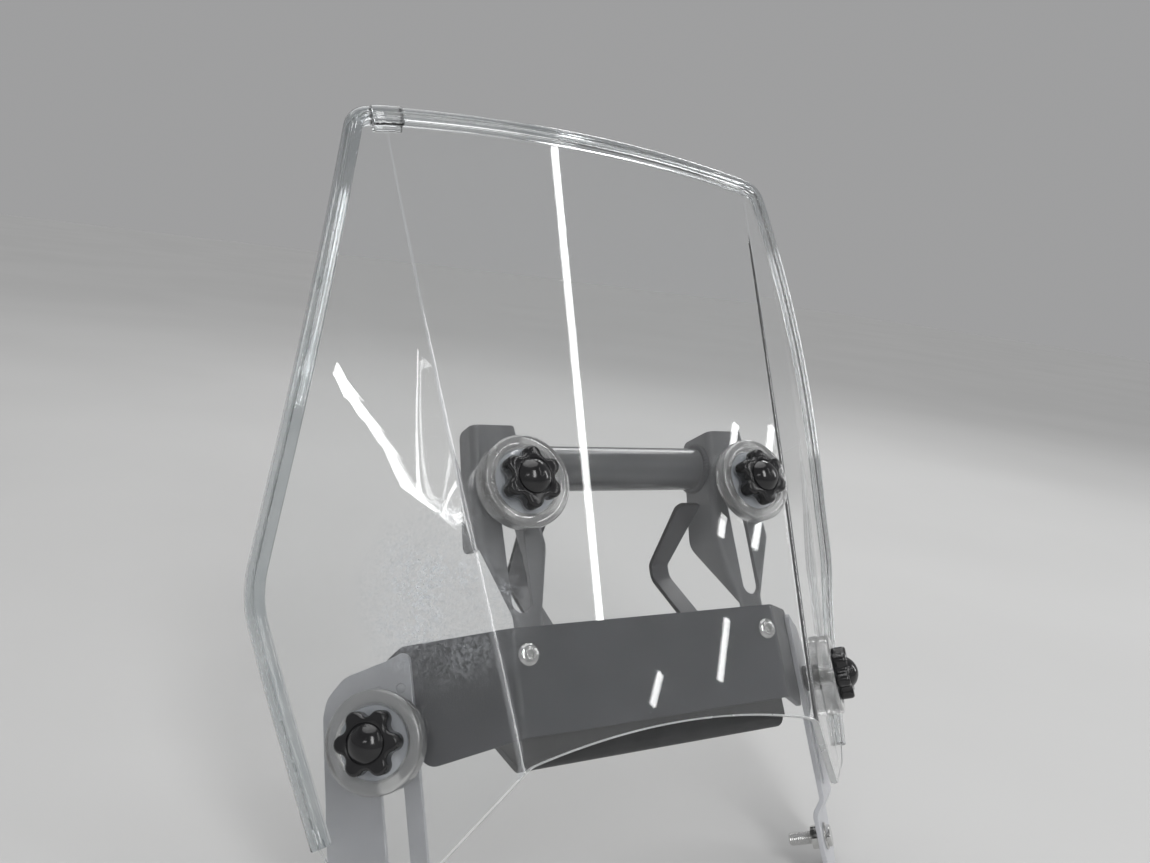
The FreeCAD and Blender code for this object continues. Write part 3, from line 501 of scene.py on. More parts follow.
class BentPath:
    """Polyline with rounded corners; its parameter is the length along the sharp one."""

    def __init__(self, corners, radii, start=0.0):
        points = [Vector(c) for c in corners]
        rows = [(start, points[0])]
        at = start
        for k, radius in enumerate(radii, 1):
            at += (points[k] - points[k - 1]).length
            centre, first, sweep, reach = fillet(*points[k - 1:k + 2], radius)
            for share in np.linspace(0.0, 1.0, BEND_POINTS):
                angle = first + sweep * share
                spot = centre + Vector((math.cos(angle), math.sin(angle))) * radius
                rows.append((at + reach * (2 * share - 1), spot))
        rows.append((at + (points[-1] - points[-2]).length, points[-1]))
        self.at, self.x, self.y = np.array([(at, spot.x, spot.y) for at, spot in rows]).T
        headings = np.unwrap(np.arctan2(np.diff(self.y), np.diff(self.x)))
        middles = (self.at[1:] + self.at[:-1]) / 2
        self.heading_at = np.concatenate([self.at[:1], middles, self.at[-1:]])
        self.heading = np.concatenate([headings[:1], headings, headings[-1:]])

    def place(self, t, depth):
        """Points at a parameter, moved to the left of the path by a depth."""
        t = np.asarray(t, dtype=float)
        heading = np.interp(t, self.heading_at, self.heading)
        x, y = np.interp(t, self.at, self.x), np.interp(t, self.at, self.y)
        low, high = np.minimum(t - self.at[0], 0), np.maximum(t - self.at[-1], 0)
        x = x + low * math.cos(self.heading[0]) + high * math.cos(self.heading[-1])
        y = y + low * math.sin(self.heading[0]) + high * math.sin(self.heading[-1])
        return x - depth * np.sin(heading), y + depth * np.cos(heading)


# Screen surface

def half_section(section):
    """Nominal length, u, v and heading of one half section at dense stations."""
    w, crease_u, fold, flat, flare, end = section
    start = math.asin(crease_u / CENTRE_RADIUS)
    fold, end = math.radians(fold), math.radians(end)
    runs = (
        (start * CENTRE_RADIUS, 0.0, start), ((fold - start) * CREASE_RADIUS, start, fold),
        (flat, fold, fold), (flare, fold, end), (SPARE_RUN, end, end),
    )
    steps = [(0.0, 0.0, 0.0)]
    for (length, first, last), count in zip(runs, RUN_SAMPLES):
        turn = (last - first) / count
        steps += [(length / count, first + turn * (k + 0.5), first + turn * (k + 1))
                  for k in range(count)]
    chord, middle, heading = np.array(steps).T
    u, v = np.cumsum(chord * np.cos(middle)), np.cumsum(chord * np.sin(middle))
    return np.stack([u, v, heading], axis=1)


def mirrored_rows(half):
    left = half[:0:-1] * (-1, 1, -1)
    return np.concatenate([left, half])


def spline_curves(at, values):
    """Second derivatives of the smooth cubic through values at given places."""
    count = len(at)
    gaps = np.diff(at)
    matrix = np.zeros((count, count))
    target = np.zeros((count,) + values.shape[1:])
    matrix[0, :3] = (gaps[1], -gaps[0] - gaps[1], gaps[0])
    matrix[-1, -3:] = (gaps[-1], -gaps[-1] - gaps[-2], gaps[-2])
    for k in range(1, count - 1):
        matrix[k, k - 1:k + 2] = (gaps[k - 1], 2 * (gaps[k - 1] + gaps[k]), gaps[k])
        rise = (values[k + 1] - values[k]) / gaps[k] - (values[k] - values[k - 1]) / gaps[k - 1]
        target[k] = 6 * rise
    solved = np.linalg.solve(matrix, target.reshape(count, -1))
    return solved.reshape(target.shape)


def nominal_places(counts):
    """Nominal lengths over both halves of a section, each run cut into a count of steps."""
    half = [0.0]
    for length, count in zip(NOMINAL_RUNS, counts):
        half += [half[-1] + length * (k + 1) / count for k in range(count)]
    return np.array([-at for at in half[:0:-1]] + half)


NOMINAL_RUNS = (97.0, 4.3, 84.0, 54.0, SPARE_RUN)
NOMINAL = nominal_places(RUN_SAMPLES)
SECTION_W = np.array([s[0] for s in SECTIONS])
SECTION_ROWS = np.array([mirrored_rows(half_section(s)) for s in SECTIONS])
CURVES = spline_curves(SECTION_W, SECTION_ROWS)


def rows_at(w):
    """Section rows at heights w, on the smooth cubic through the sections."""
    w = np.asarray(w, dtype=float)
    k = np.clip(np.searchsorted(SECTION_W, w) - 1, 0, len(SECTION_W) - 2)
    gap = (SECTION_W[k + 1] - SECTION_W[k])[:, None, None]
    b = ((w - SECTION_W[k])[:, None, None]) / gap
    a = 1 - b
    bend = (a ** 3 - a) * CURVES[k] + (b ** 3 - b) * CURVES[k + 1]
    return a * SECTION_ROWS[k] + b * SECTION_ROWS[k + 1] + bend * gap ** 2 / 6


def screen_place(flat, depth):
    """Flat points (nominal length, w) on the sheet, at a depth behind its front."""
    flat = np.asarray(flat, dtype=float)
    rows = rows_at(flat[:, 1])
    t = np.interp(flat[:, 0], NOMINAL, np.arange(len(NOMINAL)))
    k = np.clip(t.astype(int), 0, len(NOMINAL) - 2)
    share = (t - k)[:, None]
    n = np.arange(len(flat))
    values = rows[n, k] * (1 - share) + rows[n, k + 1] * share
    u, v, angle = values.T
    return np.stack([u - depth * np.sin(angle), v + depth * np.cos(angle), flat[:, 1]], axis=1)


def screen_flat(points, depth=SHEET / 2):
    """Nominal length and w for points given as u and w at a depth of the sheet."""
    points = np.asarray(points, dtype=float)
    rows = rows_at(points[:, 1])
    across = rows[:, :, 0] - depth * np.sin(rows[:, :, 2])
    lengths = [np.interp(u, row, NOMINAL) for u, row in zip(points[:, 0], across)]
    return np.stack([lengths, points[:, 1]], axis=1)


def three_point_arc(a, b, c):
    """Points from a to c along the circle through a, b and c."""
    ax, ay, bx, by, cx, cy = *a, *b, *c
    d = 2 * (ax * (by - cy) + bx * (cy - ay) + cx * (ay - by))
    sa, sb, sc = ax * ax + ay * ay, bx * bx + by * by, cx * cx + cy * cy
    x = (sa * (by - cy) + sb * (cy - ay) + sc * (ay - by)) / d
    y = (sa * (cx - bx) + sb * (ax - cx) + sc * (bx - ax)) / d
    first = math.atan2(ay - y, ax - x)
    sweep = short_turn(first, math.atan2(cy - y, cx - x))
    return arc_points((x, y), math.hypot(ax - x, ay - y), first, first + sweep, OUTLINE_STEP)


def outline_parts():
    """Top, right side down to the tip, right foot and arch, as runs of u and w."""
    corner, bulge, tip, lobe_out, lobe_in = FLANK

    def rounded(at, before, after):
        return corner_arc(at, before, after, at[2], min(1.2, at[2] / 6))
    corner_run = rounded(corner, (0.0, corner[1] + 2 * TOP_CROWN), FLANK_AIM)
    bulge_run = rounded(bulge, corner_run[-1], tip)
    start = corner_run[0]
    top = three_point_arc((-start[0], start[1]), (0.0, TOP_MID_W), start)
    side = corner_run + bulge_run + [tip[:2]]
    arch = three_point_arc(ARCH_END[:2], (0.0, ARCH_MID_W), (-ARCH_END[0], ARCH_END[1]))
    foot = rounded(tip, bulge_run[-1], lobe_out) + rounded(lobe_out, tip, lobe_in)
    foot += rounded(lobe_in, lobe_out, ARCH_END) + rounded(ARCH_END, lobe_in, arch[5])
    return top, side, foot, [p for p in arch if abs(p[0]) < foot[-1][0] - 1.0]


def screen_outline():
    top, side, foot, arch = outline_parts()
    right = side[1:-1] + foot
    left = [(-u, w) for u, w in reversed(right)]
    return thicken(top + right + arch + left + top[:1], OUTLINE_STEP)[:-1]


def clamp_rows():
    """Name, point on the sheet's front and axis towards the front of each clamp."""
    rows = []
    for side, sign in SIDES:
        for level, u, w, axis in (("upper_", UPPER_U, 0.0, (0.0, -1.0, 0.0)),
                                  ("lower_", LOWER_U, LOWER_W, (SIN_WING, -COS_WING, 0.0))):
            point = screen_place(screen_flat([(u, w)], 0.0), 0.0)[0]
            rows.append((level + side, point * (sign, 1, 1), np.array(axis) * (sign, 1, 1)))
    return rows


# Flat points in the strip along each crease that takes the painted highlight
def on_crease(flat):
    middle = NOMINAL_RUNS[0] + NOMINAL_RUNS[1] / 2
    return np.abs(np.abs(flat[:, 0]) - middle) < CREASE_HIGHLIGHT_HALF


def screen_panel():
    loops = [screen_flat(screen_outline())]
    for _, point, axis in clamp_rows():
        hole = along(ring(HOLE_DIA / 2, 0.0, 40), point, axis)
        loops.append(screen_flat(hole[:, [0, 2]], 0.0))
    rows = np.arange(GRID_LOW_W, GRID_HIGH_W, ROW_STEP)
    bent_sheet("screen_sheet", loops, grid_points(nominal_places(RUN_COLUMNS), rows), screen_place,
               SHEET, SHEET_EDGE, rim=EDGE_MATERIAL, marked=(CREASE_HIGHLIGHT_MATERIAL, on_crease),
               body="screen", slot="screen", stands_for=("screen_panel",))


# Edge trim

# Channels: thickness, depth and how far they reach past the sheet's edge
TRIM = (8.8, 10.4, 3.6)
SLEEVE = (11.0, 14.4, 4.2)
SLOT_PLAY = 0.5
SLOT_FLOOR = 2.2
SLOT_CORNER = 0.8
SLEEVE_U = 18.5 - FLANK[0][0]
SLEEVE_LENGTH = 17.0
TRIM_BREAK = 0.1
LEAST_GAP = 0.05
# Softened ends: how far they stand out, and the share of the section that is left there
CAP_REACH, CAP_SHARE = 0.35, 0.93
# Distances of the fine grooves along the channel from its mouth, and one groove's steps
GROOVES = (3.4, 5.2)
GROOVE_STEPS = ((-0.45, 0.0), (-0.15, 0.22), (0.15, 0.22), (0.45, 0.0))


def channel_section(profile):
    """Closed outline of the channel: distance out of the sheet's edge and along its normal."""
    thick, depth, nose = profile
    half, slot = thick / 2, SHEET / 2 + SLOT_PLAY
    mouth = nose - depth
    lip = (half - slot) / 2
    upper = arc_points((mouth + lip, slot + lip), lip, -math.pi / 2, -1.5 * math.pi, 0.35)
    upper += [(mouth + at + ahead, half - cut) for at in GROOVES for ahead, cut in GROOVE_STEPS]
    upper += arc_points((nose - half, 0.0), half, math.pi / 2, 0.0, 0.7)
    lower = [(a, -b) for a, b in reversed(upper[:-1])]
    floor = arc_points((SLOT_FLOOR - SLOT_CORNER, SLOT_CORNER - slot), SLOT_CORNER,
                       -math.pi / 2, 0.0, 0.4)
    floor += [(a, -b) for a, b in reversed(floor)]
    return np.array(upper + lower + floor)


def edge_frames(path):
    """Middle of the sheet's edge, outward, normal and travel directions along an outline run."""
    flat = screen_flat(path)
    centre = screen_place(flat, SHEET / 2)
    travel = unit(np.gradient(centre, axis=0))
    normal = surface_normals(screen_place, flat, SHEET / 2)
    normal = unit(normal - travel * np.sum(normal * travel, axis=1)[:, None])
    outward = np.cross(normal, travel)
    flip = np.sign(np.sum(outward[:, 0] * centre[:, 0] + outward[:, 2] * centre[:, 2]))
    return centre, outward * flip, normal, travel


def swept(name, path, section, **facts):
    """Closed section swept along a run of the sheet's edge, with softened ends."""
    centre, outward, normal, travel = edge_frames(path)
    middle = section.mean(axis=0)
    small = middle + (section - middle) * CAP_SHARE

    def section_at(k, shape, ahead=0.0):
        return centre[k] + shape[:, :1] * outward[k] + shape[:, 1:] * normal[k] + travel[k] * ahead
    rings = [section_at(0, small, -CAP_REACH)]
    rings += [section_at(k, section) for k in range(len(centre))]
    rings.append(section_at(-1, small, CAP_REACH))
    outward_mesh(add_piece(name, *ringed(rings), sharp=50.0, **facts).data)


def outward_mesh(mesh):
    """Turn the faces so that they face out of the solid."""
    work = bmesh.new()
    work.from_mesh(mesh)
    bmesh.ops.recalc_face_normals(work, faces=work.faces)
    work.to_mesh(mesh)
    work.free()


def part_of_run(path, low_u, high_u):
    """The part of the top run between two values of u, with its exact ends."""
    path = np.array(path)
    heights = np.interp((low_u, high_u), path[:, 0], path[:, 1])
    keep = path[(path[:, 0] > low_u + 1) & (path[:, 0] < high_u - 1)]
    return [(low_u, heights[0]), *keep, (high_u, heights[1])]


def edge_trim():
    top, side, _, _ = outline_parts()
    spare = TRIM_BREAK + CAP_REACH
    low, high = SLEEVE_U - SLEEVE_LENGTH / 2, SLEEVE_U + SLEEVE_LENGTH / 2
    right = part_of_run(top, high + spare, top[-1][0]) + side[1:]
    left = part_of_run(top, top[0][0], low - spare)[::-1] + [(-u, w) for u, w in side[1:]]
    middle = part_of_run(top, low + 0.4, high - 0.4)
    for name, run, step, profile, slot, node in (
            ("trim_long", right, 2.5, TRIM, "trim", "edge_trim_main"),
            ("trim_short", left, 2.5, TRIM, "trim", "edge_trim_short"),
            ("trim_joiner", middle, 2.0, SLEEVE, "sleeve", "trim_sleeve")):
        swept(name, thicken(run, step, LEAST_GAP), channel_section(profile), body="screen",
              slot=slot, stands_for=(node,))


# Turned and ringed pieces, drawn with +z towards the front

def ring(radius, z, count=64):
    angles = np.linspace(0, 2 * math.pi, count, endpoint=False)
    r = radius(angles) if callable(radius) else radius
    return np.stack([r * np.cos(angles), r * np.sin(angles), np.full(count, float(z))], axis=1)


def hexagon(across):
    return lambda a: across / 2 / np.cos((a % (math.pi / 3)) - math.pi / 6)


def ringed(rings, closed=False):
    """Vertices and faces of a skin over rings; a closed skin joins its last ring to its first."""
    ids = np.arange(len(rings) * len(rings[0])).reshape(len(rings), -1)
    faces = []
    for a, b in zip(ids, np.roll(ids, -1, axis=0) if closed else ids[1:]):
        faces += zip(a, np.roll(a, -1), np.roll(b, -1), b)
    if not closed:
        faces += [tuple(ids[0, ::-1]), tuple(ids[-1])]
    return np.concatenate(rings), faces


def lathe(rows, count=64, closed=False):
    """Skin over rings given as radius and height."""
    return ringed([ring(radius, z, count) for radius, z in rows], closed)


def joined(*parts):
    verts, faces, shift = [], [], 0
    for part_verts, part_faces in parts:
        verts.append(part_verts)
        faces += [tuple(i + shift for i in f) for f in part_faces]
        shift += len(part_verts)
    return np.concatenate(verts), faces


def along(verts, point, axis):
    """Local points to raked ones: z along the axis, y up along the slots."""
    axis = np.asarray(axis, dtype=float)
    across = np.array((-axis[1], axis[0], 0.0))
    upward = np.cross(axis, across)
    return point + verts[:, :1] * across + verts[:, 1:2] * upward + verts[:, 2:] * axis


# Rings in one turn of a thread, and the chamfer at its low end: depth, and radius by height
THREAD_STEPS = 8
CHAMFER, CHAMFER_RISE = 0.9, 0.8


def threaded(radius, low, high, pitch=1.25, depth=0.35, count=40):
    """Threaded rod from one height to another, chamfered at its low end."""
    steps = int((high - low) / pitch * THREAD_STEPS)
    turn = np.linspace(0, 1, count, endpoint=False)
    rings = []
    for z in np.linspace(low, high, steps + 1):
        groove = depth * (0.5 + 0.5 * np.cos(2 * math.pi * (z / pitch - turn)))
        chamfered = radius - CHAMFER + (z - low) * CHAMFER_RISE
        rings.append(ring(np.minimum(radius - groove, chamfered), z, count))
    return ringed(rings)


# Clamps

KNOB_DIA = 33.0
KNOB_LOBES = 6
LOBE_RADIUS = 4.5
VALLEY_CENTRE = 15.9
KNOB_LOW, KNOB_HIGH = 2.0, 11.2
# Rounding of the knob's lower edge, and the height and lean of its crowned upper edge
KNOB_EDGE = 1.5
CROWN, CROWN_LEAN = 2.4, 0.65
DOME_RADIUS = 9.3
DOME_RISE = 5.2
# Turn of each knob about its stud, in degrees, in the order of the clamps
KNOB_TURNS = (34.0, 20.0, 26.0, -5.0)
WASHER_DIA = 50.0
WASHER_HEIGHT = 9.0
WASHER_EDGE = 2.4
RECESS_DIA = 37.0
BOSS_SIDES = 96
# Rings of the boss between which its recess floor is lighter and bluer: painted reflection
RECESS_RINGS = (14, 17)
SEAT_HEIGHT = 6.0
SPACER_DIA = 16.0
SLIDE_GAP = 0.3
THREAD_REACH = 8.5
T_HEAD_HALF, T_HEAD_CORNER = 8.0, 1.2


def star_ring(inset, z):
    """Six-lobed star moved inwards by an inset, as points with a fixed count."""
    lobe_c = KNOB_DIA / 2 - LOBE_RADIUS
    half = math.pi / KNOB_LOBES
    aside, ahead = VALLEY_CENTRE * math.sin(half), VALLEY_CENTRE * math.cos(half) - lobe_c
    valley = math.hypot(ahead, aside) - LOBE_RADIUS
    turn = math.atan2(aside, ahead)
    points = []

    def add_arc(reach, angle, radius, first, sweep, count):
        for a in np.linspace(first, first + sweep, count, endpoint=False):
            points.append((reach * math.cos(angle) + radius * math.cos(a),
                           reach * math.sin(angle) + radius * math.sin(a), z))
    for k in range(KNOB_LOBES):
        lobe = 2 * half * k
        add_arc(lobe_c, lobe, LOBE_RADIUS - inset, lobe - turn, 2 * turn, 13)
        add_arc(VALLEY_CENTRE, lobe + half, valley + inset, lobe + math.pi + turn,
                2 * (half - turn), 9)
    return np.array(points)


def knob_mesh():
    quarter = math.pi / 2
    profile = [(KNOB_EDGE * (1 - math.sin(a)), KNOB_LOW + KNOB_EDGE * (1 - math.cos(a)))
               for a in np.linspace(0, quarter, 6)]
    profile += [(CROWN * CROWN_LEAN * (1 - math.cos(a)), KNOB_HIGH - CROWN * (1 - math.sin(a)))
                for a in np.linspace(0, quarter, 9)]
    rings = [star_ring(inset, z) for inset, z in profile]
    directions = unit(rings[-1][:, :2])
    inner = [(DOME_RADIUS + out, KNOB_HIGH + up)
             for out, up in ((0.5, 0.02), (0.3, -0.08), (0.2, -0.5), (0.0, -0.5), (-0.05, 0.1))]
    ball = (DOME_RADIUS ** 2 + DOME_RISE ** 2) / (2 * DOME_RISE)
    for share in (0.97, 0.92, 0.84, 0.72, 0.6, 0.46, 0.3, 0.15, 0.05):
        a = math.asin(DOME_RADIUS / ball) * share
        inner.append((ball * math.sin(a), KNOB_HIGH + DOME_RISE - ball * (1 - math.cos(a))))
    for radius, z in inner:
        rings.append(np.column_stack([directions * radius, np.full(len(directions), z)]))
    foot = lathe(((9.9, 0.0), (10.5, 0.5), (10.5, KNOB_LOW + 0.4)))
    return joined(ringed(rings), foot)


def ring_on_sheet(radius, point, axis, depth, lift, count=64):
    """Ring that follows the sheet's front or back, raised from it."""
    spots = ring(radius, 0.0, count)
    spots[:, 2] = sheet_drop(spots, point, axis, depth) + lift
    return spots


def washer_mesh(point, axis):
    """Disc whose underside follows the sheet."""
    outer, lip, bore = WASHER_DIA / 2, RECESS_DIA / 2, HOLE_DIA / 2
    rows = [(outer - WASHER_EDGE * (1 - math.cos(a)),
             WASHER_HEIGHT - WASHER_EDGE * (1 - math.sin(a)))
            for a in np.linspace(0, math.pi / 2, 9)]
    rows += [(lip + 1.2, WASHER_HEIGHT), (lip + 0.5, WASHER_HEIGHT - 0.15),
             (lip + 0.1, WASHER_HEIGHT - 0.6), (lip - 0.9, SEAT_HEIGHT + 0.6),
             (lip - 1.3, SEAT_HEIGHT + 0.1), (lip - 2.0, SEAT_HEIGHT), (bore + 0.3, SEAT_HEIGHT),
             (bore, SEAT_HEIGHT - 0.3)]
    rings = [ring_on_sheet(outer - 0.4, point, axis, 0.0, 0.02, BOSS_SIDES),
             ring_on_sheet(outer, point, axis, 0.0, 0.5, BOSS_SIDES)]
    rings += [ring(radius, z, BOSS_SIDES) for radius, z in rows]
    rings.append(ring_on_sheet(bore, point, axis, 0.0, 0.02, BOSS_SIDES))
    return ringed(rings, closed=True)


def sheet_drop(spots, point, axis, depth):
    """Height along the axis at which each local point meets a face of the sheet."""
    z = np.zeros(len(spots))
    for _ in range(5):
        place = along(np.column_stack([spots[:, :2], z]), point, axis)
        target = screen_place(screen_flat(place[:, [0, 2]], depth), depth)
        z = z + (target[:, 1] - place[:, 1]) * axis[1]
    return z


def spacer_mesh(point, axis, reach):
    """Bush between the back of the sheet and the slotted plate."""
    bore, radius = BOLT_DIA / 2 + 0.3, SPACER_DIA / 2
    end = SLIDE_GAP - reach
    rings = [ring(r, end + up)
             for r, up in ((bore, 0.0), (radius - 0.6, 0.0), (radius - 0.15, 0.15), (radius, 0.6))]
    rings += [ring_on_sheet(r, point, axis, SHEET, -0.02) for r in (radius, bore)]
    return ringed(rings, closed=True)


def square_ring(half, soft, z):
    corners = [(x * half, y * half, soft) for x, y in ((-1, -1), (1, -1), (1, 1), (-1, 1))]
    loop = rounded_loop(corners, step=20.0)
    return np.column_stack([loop, np.full(len(loop), z)])


def slide_bolt_mesh(reach):
    """T-bolt with its head behind the plate and its thread out to the knob."""
    back = -(reach + PLATE + SLIDE_GAP)
    head = [square_ring(T_HEAD_HALF - inset, T_HEAD_CORNER, back - low)
            for inset, low in ((0.8, 5.0), (0.15, 4.75), (0.0, 4.2), (0.0, 0.6), (0.2, 0.1),
                               (0.8, 0.0))]
    radius = SLOT_DIA / 2 - SLIDE_GAP
    neck = lathe(((radius, back), (radius, back + PLATE), (radius - 0.3, back + PLATE + 0.3)))
    shank = threaded(BOLT_DIA / 2 - 0.02, back + PLATE, SEAT_HEIGHT + THREAD_REACH - 0.1)
    return joined(ringed(head), neck, shank)


def plate_reach(point, axis, is_upper):
    """Distance from the front of the sheet back to the slotted plate."""
    if is_upper:
        return UPRIGHT_V - point[1]
    return (abs(point[0]) - PLATE_BEND_U) * SIN_WING - (point[1] - PLATE_V) * COS_WING - PLATE


def clamps():
    for (name, point, axis), turn in zip(clamp_rows(), KNOB_TURNS):
        reach = plate_reach(point, axis, name.startswith("upper"))
        knob, knob_faces = knob_mesh()
        knob = knob @ np.array(Matrix.Rotation(math.radians(turn), 3, "Z")).T
        knob[:, 2] += SEAT_HEIGHT
        for label, node, slot, (verts, faces), sharp in (
                ("boss_", "washer_", "washer", washer_mesh(point, axis), 40.0),
                ("star_knob_", "knob_", "knob", (knob, knob_faces), 60.0),
                ("bush_", "spacer_", "spacer", spacer_mesh(point, axis, reach), 40.0),
                ("t_bolt_", "slide_bolt_", "bolt", slide_bolt_mesh(reach), 40.0)):
            piece = add_piece(label + name, along(verts, point, axis), faces, "screen", slot,
                              (node + name,), sharp=sharp)
            if slot == "washer":
                # The recess floor takes the painted reflection
                ring_of = np.arange(len(faces)) // BOSS_SIDES
                recess = (ring_of >= RECESS_RINGS[0]) & (ring_of < RECESS_RINGS[1])
                paint(piece, RECESS_REFLECTION_MATERIAL, recess)


# Stay. Outlines have columns u or length along the sheet, w and the radius of the corner

PLATE_EDGE = 0.45
PLATE_BEND_RADIUS = 6.0
WING_REACH = 150.0
SCREW_U, SCREW_W = 79.0, -86.0
SCREW_HOLE = 3.2
CENTRE_LOW_W = -126.0
CENTRE_LOW_RADIUS = 40.0
# Lengths are from the lower clamp's
WING_OUTLINE = [(-10.0, -72.0, 6.0), (8.0, -84.0, 5.0), (8.0, -103.0, 2.0), (-14.5, -104.0, 3.0),
                (-14.5, -134.0, 8.0)]
RIVET_RUNS = (-9.0, 3.0)
RIVET_W = -93.0
RIVET_HOLE = 2.5
SIDE_OUTLINE = [
    (-15.0, -74.0, 4.0), (-3.0, -78.0, 20.0), (21.0, -83.0, 12.0), (31.0, -92.0, 10.0),
    (34.0, -101.0, 16.0), (37.0, -166.0, 40.0), (37.0, -222.0, 8.0), (27.0, -232.0, 9.0),
    (-7.0, -232.0, 9.0), (-15.0, -222.0, 8.0),
]
SIDE_BOLT_W = -212.0
SIDE_BOLT_HOLE = 4.2
SIDE_TOP_W, SIDE_END_W = -60.0, -250.0
JOGGLE = 6.0
JOGGLE_W = (-190.0, -198.0)
JOGGLE_RADIUS = 5.0
# Uprights: the pad's inner and outer edges at heights w
PAD_W = [38.0, -30.0, -66.0, -126.0]
PAD_IN_U = [67.0, 57.0, 65.0, 65.0]
PAD_OUT_U = [94.0, 99.0, 84.5, 84.5]
INNER_FLANGE = 27.0
OUTER_FLANGE = 17.0
FLANGE_BEND = 4.0
RAIL_HALF = 86.0
RAIL_TOP_W = -76.0
RAIL_FOOT = 52.0
RAIL_BEND_RADIUS = 7.0
RAIL_EDGE = 0.6
RAIL_HOLES = 120.0
RAIL_HOLE_DIA = 8.4
# Braces: edges of the foot and of the neck, and lengths at which the foot ends and the neck starts
BRACE_IN_U, BRACE_OUT_U, BRACE_NECK_U = 44.0, 70.0, 57.0
BRACE_FOOT, BRACE_NECK = 26.0, 60.0
BRACE_SHEET, BRACE_EDGE = 3.0, 0.4
BRACE_REACH, BRACE_LAP = 52.0, 12.0
BRACE_ELBOW_V = UPRIGHT_V + BRACE_REACH + BRACE_SHEET
BRACE_TOP_V = UPRIGHT_V + INNER_FLANGE - BRACE_LAP
BRACE_RADII = (9.0, 10.0, 5.5)
# Heights of the brace's foot, its start, both ends of its elbow and its top
BRACE_W = (-124.0, -96.0, -44.0, -34.0, -4.0)
BAR_DIA = 26.0
BAR_W = 18.0
BAR_GAP = 1.0
BAR_V = UPRIGHT_V + PLATE + BAR_GAP + BAR_DIA / 2
# Weld bead: radius, count of its ripples round the tube and their share of the radius
WELD_RADIUS, WELD_RIPPLES, WELD_RIPPLE = 2.3, 46, 0.07


def wing_uv(run, behind):
    """u and v at a run along the left wing's front and a distance behind it."""
    return (PLATE_BEND_U + run * COS_WING - behind * SIN_WING,
            PLATE_V + run * SIN_WING + behind * COS_WING)


def lower_run():
    """Run along the wing at which the lower clamp's axis meets it."""
    point = clamp_rows()[1][1]
    return (point[0] - PLATE_BEND_U) * COS_WING + (point[1] - PLATE_V) * SIN_WING


def paired_sheets(name, node, loops, grid, place, thick, edge, **facts):
    """A left sheet and its mirror image on the right."""
    for side, sign in SIDES:
        def on_side(flat, depth):
            return place(flat * (sign, 1), depth) * (sign, 1, 1)
        bent_sheet(name + side, [l * (sign, 1) for l in loops], grid * (sign, 1), on_side, thick,
                   edge, body="stay", stands_for=(node + side,), **facts)


def centre_plate():
    u, v = wing_uv(WING_REACH, 0.0)
    path = BentPath([(-u, v), (-PLATE_BEND_U, PLATE_V), (PLATE_BEND_U, PLATE_V), (u, v)],
                    (PLATE_BEND_RADIUS, PLATE_BEND_RADIUS), start=-PLATE_BEND_U - WING_REACH)
    edge = PLATE_BEND_U + lower_run()
    right = [(edge + run, w, radius) for run, w, radius in WING_OUTLINE]
    corners = right[::-1] + [(-p, w, r) for p, w, r in right]
    corners += [(sign * PLATE_BEND_U, CENTRE_LOW_W, CENTRE_LOW_RADIUS) for sign in (-1, 1)]
    loops = [rounded_loop(corners, 3.0)]
    loops += [circle_loop(sign * SCREW_U, SCREW_W, SCREW_HOLE, 32) for sign in (1, -1)]
    loops += [circle_loop(sign * (edge + run), RIVET_W, RIVET_HOLE, 24)
              for sign in (1, -1) for run in RIVET_RUNS]

    def place(flat, depth):
        u, v = path.place(flat[:, 0], depth)
        return np.stack([u, v, flat[:, 1]], axis=1)
    bend = [PLATE_BEND_U + d for d in np.linspace(-2.4, 2.4, 9)]
    outer = bend + [PLATE_BEND_U + d for d in range(10, 80, 8)]
    columns = [-b for b in outer] + list(np.arange(-76, 77, 8.0)) + outer
    bent_sheet("middle_plate", loops, grid_points(columns, np.arange(-132, -72, 5.0)), place,
               PLATE, PLATE_EDGE, body="stay", slot="stay", stands_for=("centre_plate",))


def side_plates():
    front, joggled = -PLATE, JOGGLE - PLATE
    path = BentPath([(front, SIDE_TOP_W), (front, JOGGLE_W[0]), (joggled, JOGGLE_W[1]),
                     (joggled, SIDE_END_W)], (JOGGLE_RADIUS, JOGGLE_RADIUS))
    middle = lower_run()
    knee = SIDE_TOP_W - JOGGLE_W[0]
    ramp = math.hypot(JOGGLE, JOGGLE_W[0] - JOGGLE_W[1])

    def length_at(w):
        """Length along the path, with the sign turned, down to a height off the ramp."""
        return w - SIDE_TOP_W if w >= JOGGLE_W[0] else w - JOGGLE_W[1] - knee - ramp

    def place(flat, depth):
        behind, w = path.place(-flat[:, 1], depth)
        return np.stack([*wing_uv(flat[:, 0], behind), w], axis=1)
    loops = [rounded_loop([(middle + run, length_at(w), r) for run, w, r in SIDE_OUTLINE], 2.5),
             slot_loop(middle, length_at(LOWER_W + SLOT_END),
                       length_at(LOWER_W - TRAVEL - SLOT_END), SLOT_DIA / 2),
             circle_loop(middle, length_at(SIDE_BOLT_W), SIDE_BOLT_HOLE, 32)]
    loops += [circle_loop(middle + run, length_at(RIVET_W), RIVET_HOLE, 24) for run in RIVET_RUNS]
    rows = list(-np.arange(16.0, 182.0, 6.0))
    rows += [-(at + d) for at in (knee, knee + ramp) for d in np.linspace(-2.5, 2.5, 7)]
    grid = grid_points(np.arange(middle - 14, middle + 38, 6.0), rows)
    paired_sheets("slotted_plate_", "side_plate_", loops, grid, place, PLATE, PLATE_EDGE,
                  slot="side_plate")


def pad_edge(values, w):
    return np.interp(-np.asarray(w), [-x for x in PAD_W], values)


